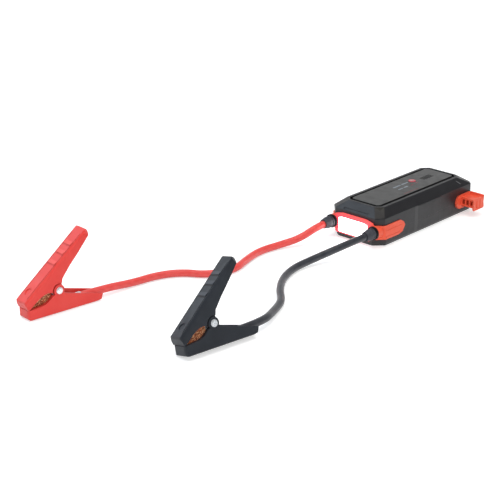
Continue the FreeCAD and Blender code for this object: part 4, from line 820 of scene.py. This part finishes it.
def printed_bar(name, middle, long_side, short_side):
    """A slab of ink on the panel with round corners. Sizes and places are in mm."""
    nothing_selected()
    bpy.ops.mesh.primitive_cube_add(
        size=1.0, scale=(short_side * MM, long_side * MM, INK),
        location=(middle[0] * MM, middle[1] * MM, PANEL_TOP + INK / 2))
    slab = shaped(name)
    bpy.ops.object.transform_apply(location=False, rotation=False, scale=True)
    bpy.ops.object.mode_set(mode="EDIT")
    bpy.ops.mesh.select_mode(type="EDGE")
    bpy.ops.mesh.select_all(action="DESELECT")
    bpy.ops.object.mode_set(mode="OBJECT")
    for edge in slab.data.edges:
        ends = [slab.data.vertices[i].co for i in edge.vertices]
        edge.select = abs(ends[0].z - ends[1].z) > INK / 2
    bpy.ops.object.mode_set(mode="EDIT")
    bpy.ops.mesh.bevel(offset=ROUNDING * short_side * MM, segments=4)
    bpy.ops.object.mode_set(mode="OBJECT")
    return slab


pale_ink = moulded("pale_ink", srgb(120, 127, 134), srgb(136, 143, 150), edge=0.03 * MM)
red_ink = moulded("red_ink", srgb(118, 56, 58), srgb(134, 74, 76), edge=0.03 * MM)
pale_bars = join("pale_bars", [
    printed_bar("bar_one", (-5.2, -6.2), 14.0, 2.4),
    printed_bar("bar_two", (-5.2, 9.4), 13.0, 2.4),
    printed_bar("bar_three", (3.4, -9.6), 9.0, 2.4),
    printed_bar("bar_four", (3.4, 0.4), 8.0, 2.4),
])
settle(pale_bars, pale_ink, "pack")
red_marks = join("red_marks", [
    printed_bar("mark_one", (3.0, 22.6), 6.0, 1.6),
    printed_bar("mark_two", (4.6, 11.4), 5.0, 1.4),
    printed_bar("mark_three", (17.2, -7.0), 29.0, 0.7),
])
settle(red_marks, red_ink, "pack")

# %% [markdown]
# ### The mark on the slope
# A short pale line is moulded near the rear of the right slope. It runs down the slope and a
# little to the rear. It is made lying flat, and then turned so that its length, width and
# thickness follow three directions: along the line, across it, and straight out of the slope.

# %% Model the mark on the slope
SLOPE_TOP = Vector((27.7, 68.4, 43.5)) * MM
SLOPE_FOOT = Vector((38.0, 68.4, 34.6)) * MM
MARK_SIZE = (6.4 * MM, 0.9 * MM, 0.3 * MM)
MARK_LIFT = 0.04 * MM
MARK_DOWN, MARK_BACK = 5.8, 3.6

down = (SLOPE_FOOT - SLOPE_TOP).normalized()
slope_out = Vector((0, 1, 0)).cross(down).normalized()
if slope_out.z < 0:
    slope_out = -slope_out
mark_middle = SLOPE_TOP.lerp(SLOPE_FOOT, 0.5) + slope_out * MARK_LIFT
along = (down * MARK_DOWN + Vector((0, MARK_BACK, 0))).normalized()
across = slope_out.cross(along)

nothing_selected()
bpy.ops.mesh.primitive_cube_add(size=1.0, scale=MARK_SIZE, location=mark_middle)
slope_mark = shaped("slope_mark")
bpy.ops.object.transform_apply(location=False, rotation=False, scale=True)
slope_mark.rotation_euler = Matrix((along, across, slope_out)).transposed().to_euler()
soften(slope_mark, 0.08 * MM)
mark_finish = moulded("raised_mark", srgb(112, 114, 116), srgb(130, 132, 134), edge=0.05 * MM)
settle(slope_mark, mark_finish, "pack")

# %% [markdown]
# ### Segments in the window
# When the display is off, its digits can just be made out. The window's finish lets nothing
# through, so the segments lie on its face. Each is a small bar with pointed ends. One is modelled,
# and the others are copies of it, each with its own mesh. Seven of them make a digit.

# %% Model the display's segments
WINDOW_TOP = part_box("display_window")[1].z
WINDOW_MIDDLE = (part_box("display_window")[0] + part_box("display_window")[1]) / 2
SEGMENT_LONG = 2.0 * MM
SEGMENT_WIDE = 0.45 * MM
SEGMENT_THICK = 0.03 * MM
HEXAGON_RADIUS = 0.5
HEXAGON_HALF = HEXAGON_RADIUS * math.cos(math.radians(30))
DIGITS = 3
FIRST_DIGIT = 4.2
DIGIT_STEP = 3.6
SEVEN = ((0, 0, True), (-2.2, 0, True), (2.2, 0, True),
         (-1.1, 1.1, False), (1.1, 1.1, False), (-1.1, -1.1, False), (1.1, -1.1, False))


def segment():
    """One bar with pointed ends, lying along X. A hexagon is stretched to its size."""
    nothing_selected()
    bpy.ops.mesh.primitive_cylinder_add(
        vertices=6, radius=HEXAGON_RADIUS, depth=1.0, location=(0, 0, 0))
    piece = shaped("segment")
    for vertex in piece.data.vertices:
        along = vertex.co.y / HEXAGON_RADIUS
        side = vertex.co.x / HEXAGON_HALF
        if abs(along) > 0.9:
            vertex.co.x = along * SEGMENT_LONG / 2
            vertex.co.y = 0.0
        else:
            vertex.co.x = math.copysign(SEGMENT_LONG / 2 - SEGMENT_WIDE / 2, along)
            vertex.co.y = side * SEGMENT_WIDE / 2
        vertex.co.z *= SEGMENT_THICK
    return piece


first = segment()
segments = []
for digit in range(DIGITS):
    up = FIRST_DIGIT - digit * DIGIT_STEP
    for across, along, upright in SEVEN:
        piece = first.copy()
        piece.data = first.data.copy()
        bpy.context.scene.collection.objects.link(piece)
        piece.location = (WINDOW_MIDDLE.x + across * MM, WINDOW_MIDDLE.y + (up + along) * MM,
                          WINDOW_TOP + SEGMENT_THICK / 2)
        piece.rotation_euler.z = math.radians(90) if upright else 0.0
        segments.append(piece)
bpy.data.objects.remove(first)
ghost_finish = moulded("unlit_segments", srgb(36, 37, 40), srgb(44, 45, 48), edge=0.03 * MM,
                        specular=0.1)
settle(join("display_segments", segments), ghost_finish, "pack")

# %% [markdown]
# ### The springs in the clamps
# A clamp's spring is a coil round the rivet. One leg lies on the floor of the lower arm, and the
# other pushes the upper arm up, so the two legs turn apart. In the construction model the spring
# is one rigid solid, and its upper leg would come through the arm when the clamp opens. Here the
# spring is two pieces. Both need the rivet's middle and axis, which the record of the
# construction model gives, and the way that the upper leg points.

# %% Find the way of each spring's leg
LEG_LEAN = math.radians(15)


def spring_frame(side):
    """The rivet's middle and axis, and the way that the spring's upper leg points."""
    joint = next(entry for entry in frame["record"]["behaviour"]["joints"]
                 if entry["name"] == side + "_clamp_hinge")
    axis = Vector(joint["axis"]).normalized()
    heading = CLAMPS[side]["heading"]
    forward = Vector((math.cos(heading), math.sin(heading), 0))
    upright = forward.cross(axis).normalized()
    if upright.z < 0:
        upright = -upright
    leg_way = upright * math.cos(LEG_LEAN) + forward * math.sin(LEG_LEAN)
    return Vector(joint["pos_m"]), axis, leg_way


for side in CLAMPS:
    print(side, "leg points to", [round(v, 3) for v in spring_frame(side)[2]])

# %% [markdown]
# ### The coil and the leg
# The coil keeps the construction solid's shape, without the faces that belong to the upper leg.
# The leg is a piece of its own that turns with the upper arm: a disc of wire, extruded down to
# the coil and then spun round the rivet for an eighth of a turn, inside the coil's first turn, so
# that no gap opens behind it.

# %% Model the springs
LEG_TUCK = math.radians(45)
LEG_TUCK_STEPS = 8
LEG_ROOT = 0.3 * MM
WIRE_RADIUS = 0.79 * MM
NEAR_THE_WIRE = 1.0 * MM
END_RING = 0.05 * MM
SAME_POINT = 0.001 * MM


def model_coil(side, pivot, leg_way):
    """A copy of the construction solid without its upper leg. It tells where that leg ended."""
    node = frame["nodes"][side + "_clamp_spring"]
    coil = node.copy()
    coil.data = node.data.copy()
    # The tags belong to the construction solid, and this copy is a piece of its own.
    for tag in list(coil.keys()):
        del coil[tag]
    bpy.context.scene.collection.objects.link(coil)
    nothing_selected()
    coil.select_set(True)
    bpy.context.view_layer.objects.active = coil
    shaped(side + "_spring_coil")
    bpy.ops.object.mode_set(mode="EDIT")
    bpy.ops.mesh.select_all(action="SELECT")
    bpy.ops.mesh.remove_doubles(threshold=SAME_POINT)
    bpy.ops.mesh.select_all(action="DESELECT")
    bpy.ops.object.mode_set(mode="OBJECT")
    reach = max((vertex.co - pivot).dot(leg_way) for vertex in coil.data.vertices)
    end_ring = [vertex.co for vertex in coil.data.vertices
                if (vertex.co - pivot).dot(leg_way) > reach - END_RING]
    tip = sum(end_ring, Vector()) / len(end_ring)
    for face in coil.data.polygons:
        from_tip = face.center - tip
        off_line = (from_tip - leg_way * from_tip.dot(leg_way)).length
        above = (face.center - pivot).dot(leg_way) > LEG_ROOT
        face.select = above and off_line < NEAR_THE_WIRE
    bpy.ops.object.mode_set(mode="EDIT")
    bpy.ops.mesh.select_mode(type="FACE")
    bpy.ops.mesh.delete(type="FACE")
    bpy.ops.mesh.select_mode(type="VERT")
    bpy.ops.mesh.select_all(action="SELECT")
    bpy.ops.mesh.fill_holes(sides=0)
    bpy.ops.object.mode_set(mode="OBJECT")
    settle(coil, zinc, "pack")
    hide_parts(side + "_clamp_spring")
    return tip


def model_leg(side, tip, pivot, axis, leg_way):
    """The upper leg, from its tip down to the coil, and an eighth of a turn along the coil."""
    nothing_selected()
    bpy.ops.mesh.primitive_circle_add(
        vertices=20, radius=WIRE_RADIUS, fill_type="NGON", location=tip,
        rotation=leg_way.to_track_quat("Z", "Y").to_euler())
    leg = shaped(side + "_spring_leg")
    bpy.ops.object.transform_apply(location=True, rotation=True, scale=True)
    bpy.ops.object.mode_set(mode="EDIT")
    bpy.ops.mesh.select_mode(type="FACE")
    bpy.ops.mesh.select_all(action="SELECT")
    bpy.ops.mesh.extrude_region_move(
        TRANSFORM_OT_translate={"value": leg_way * -(tip - pivot).dot(leg_way)})
    along_coil = axis if axis.dot((tip - pivot).cross(leg_way)) > 0 else -axis
    bpy.ops.mesh.spin(steps=LEG_TUCK_STEPS, angle=LEG_TUCK, center=pivot, axis=along_coil)
    bpy.ops.mesh.select_all(action="SELECT")
    bpy.ops.mesh.normals_make_consistent(inside=False)
    bpy.ops.object.mode_set(mode="OBJECT")
    bpy.ops.object.shade_smooth_by_angle(angle=math.radians(40))
    settle(leg, zinc, side + "_jaw")


for side in CLAMPS:
    pivot, axis, leg_way = spring_frame(side)
    tip = model_coil(side, pivot, leg_way)
    model_leg(side, tip, pivot, axis, leg_way)

# %% [markdown]
# ## The floor
# A product picture stands on white. The floor is pale, and gets a little extra brightness for the
# camera and for mirrored rays, so that it clips to white while the object's own shadow still
# shows. Far from the lamps it gets more, so that it stays white up to the horizon. To the right
# of the pack the extra brightness ends for mirrored rays, as it does at the end of a table.

# %% Lay the floor
FLOOR_LIFT = 0.5
LAMPS_REACH = 0.9
FAR_AWAY = 2.4
TABLE = (-9.0, 80 * MM)
TABLE_EDGE = 45 * MM

nothing_selected()
bpy.ops.mesh.primitive_plane_add(size=40.0, location=(0, 0, 0))
floor = shaped("floor")
floor_finish, tree, shader = new_finish("pale_floor")
shader.inputs["Base Color"].default_value = (0.72, 0.72, 0.72, 1.0)
shader.inputs["Roughness"].default_value = 0.9
shader.inputs["Specular IOR Level"].default_value = 0.0
shader.inputs["Emission Color"].default_value = (1.0, 1.0, 1.0, 1.0)
ray = tree.nodes.new("ShaderNodeLightPath")
away = tree.nodes.new("ShaderNodeVectorMath")
away.operation = "LENGTH"
tree.links.new(object_space(tree), away.inputs[0])
lift = ranged(tree, away.outputs["Value"], FLOOR_LIFT, 1.0, LAMPS_REACH, FAR_AWAY)
direct = maths(tree, "MULTIPLY", ray.outputs["Is Camera Ray"], lift)
mirrored = maths(tree, "MULTIPLY", ray.outputs["Is Glossy Ray"],
                 band(tree, "X", *TABLE, TABLE_EDGE))
mirrored_lift = ranged(tree, mirrored, 0.0, FLOOR_LIFT, 0.0, 1.0)
tree.links.new(maths(tree, "MAXIMUM", direct, mirrored_lift),
               shader.inputs["Emission Strength"])
floor.data.materials.append(floor_finish)
print("floor is", floor.dimensions.x, "m wide")

# %% [markdown]
# ## The room's light
# The room is a white sweep with a darker ceiling. That matters for dark satin plastic, whose look
# is mostly what it mirrors: the flat top mirrors the bright sweep behind it, the sides mirror the
# floor, and the slope between them mirrors the ceiling and stays nearly black. To the right the
# sweep ends too, and what is mirrored there is darker. Two soft boxes are mirrored as well: a
# cool one at the front left, and a small warm one overhead. The other two give the even light
# that the coloured pieces need, and are left out of mirrored rays, which would show them as pale
# squares on the slopes.

# %% Set the room's light
SWEEP_LIGHT = 1.0
CEILING_LIGHT = 0.12
SWEEP_TOP = math.sin(math.radians(22))
CEILING_FOOT = math.sin(math.radians(32))
BEYOND_THE_SWEEP = 0.15
SWEEP_ENDS = 0.35

world = bpy.data.worlds.new("room")
bpy.context.scene.world = world
world.use_nodes = True
tree = world.node_tree
background = tree.nodes["Background"]
background.inputs["Color"].default_value = (1.0, 1.0, 1.0, 1.0)
direction = tree.nodes.new("ShaderNodeTexCoord")
split = tree.nodes.new("ShaderNodeSeparateXYZ")
tree.links.new(direction.outputs["Generated"], split.inputs["Vector"])
room = ranged(tree, split.outputs["Z"], SWEEP_LIGHT, CEILING_LIGHT, SWEEP_TOP, CEILING_FOOT)
ray = tree.nodes.new("ShaderNodeLightPath")
sweep_end = ranged(tree, split.outputs["X"], 1.0, BEYOND_THE_SWEEP, 0.0, SWEEP_ENDS)
not_mirrored = ranged(tree, ray.outputs["Is Glossy Ray"], 1.0, 0.0, 0.0, 1.0)
shaded = maths(tree, "MULTIPLY", room, maths(tree, "MAXIMUM", sweep_end, not_mirrored))
tree.links.new(maths(tree, "MAXIMUM", shaded, ray.outputs["Is Camera Ray"]),
               background.inputs["Strength"])


def soft_box(name, place, aim, size, power, colour, mirrored):
    """A square lamp that faces a point."""
    lamp_data = bpy.data.lights.new(name, "AREA")
    lamp_data.size = size
    lamp_data.energy = power
    lamp_data.color = colour
    lamp = bpy.data.objects.new(name, lamp_data)
    lamp.location = place
    lamp.rotation_euler = (Vector(aim) - Vector(place)).to_track_quat("-Z", "Y").to_euler()
    lamp.visible_glossy = mirrored
    bpy.context.scene.collection.objects.link(lamp)
    print(name, "of", power, "W at", place)


soft_box("front_soft_box", (-1.8, -0.9, 1.9), (0.0, -0.2, 0.0), 2.0, 27.0, (0.74, 0.86, 1.0), True)
soft_box("warm_soft_box", (-0.2, 0.25, 2.3), (0.0, -0.1, 0.0), 0.8, 6.0, (1.0, 0.93, 0.8), True)
soft_box("top_soft_box", (0.0, -0.2, 2.4), (0.0, -0.2, 0.0), 2.4, 40.0, (1.0, 1.0, 1.0), False)
soft_box("side_soft_box", (2.0, -1.2, 1.0), (0.0, -0.2, 0.0), 1.6, 20.0, (1.0, 1.0, 1.0), False)
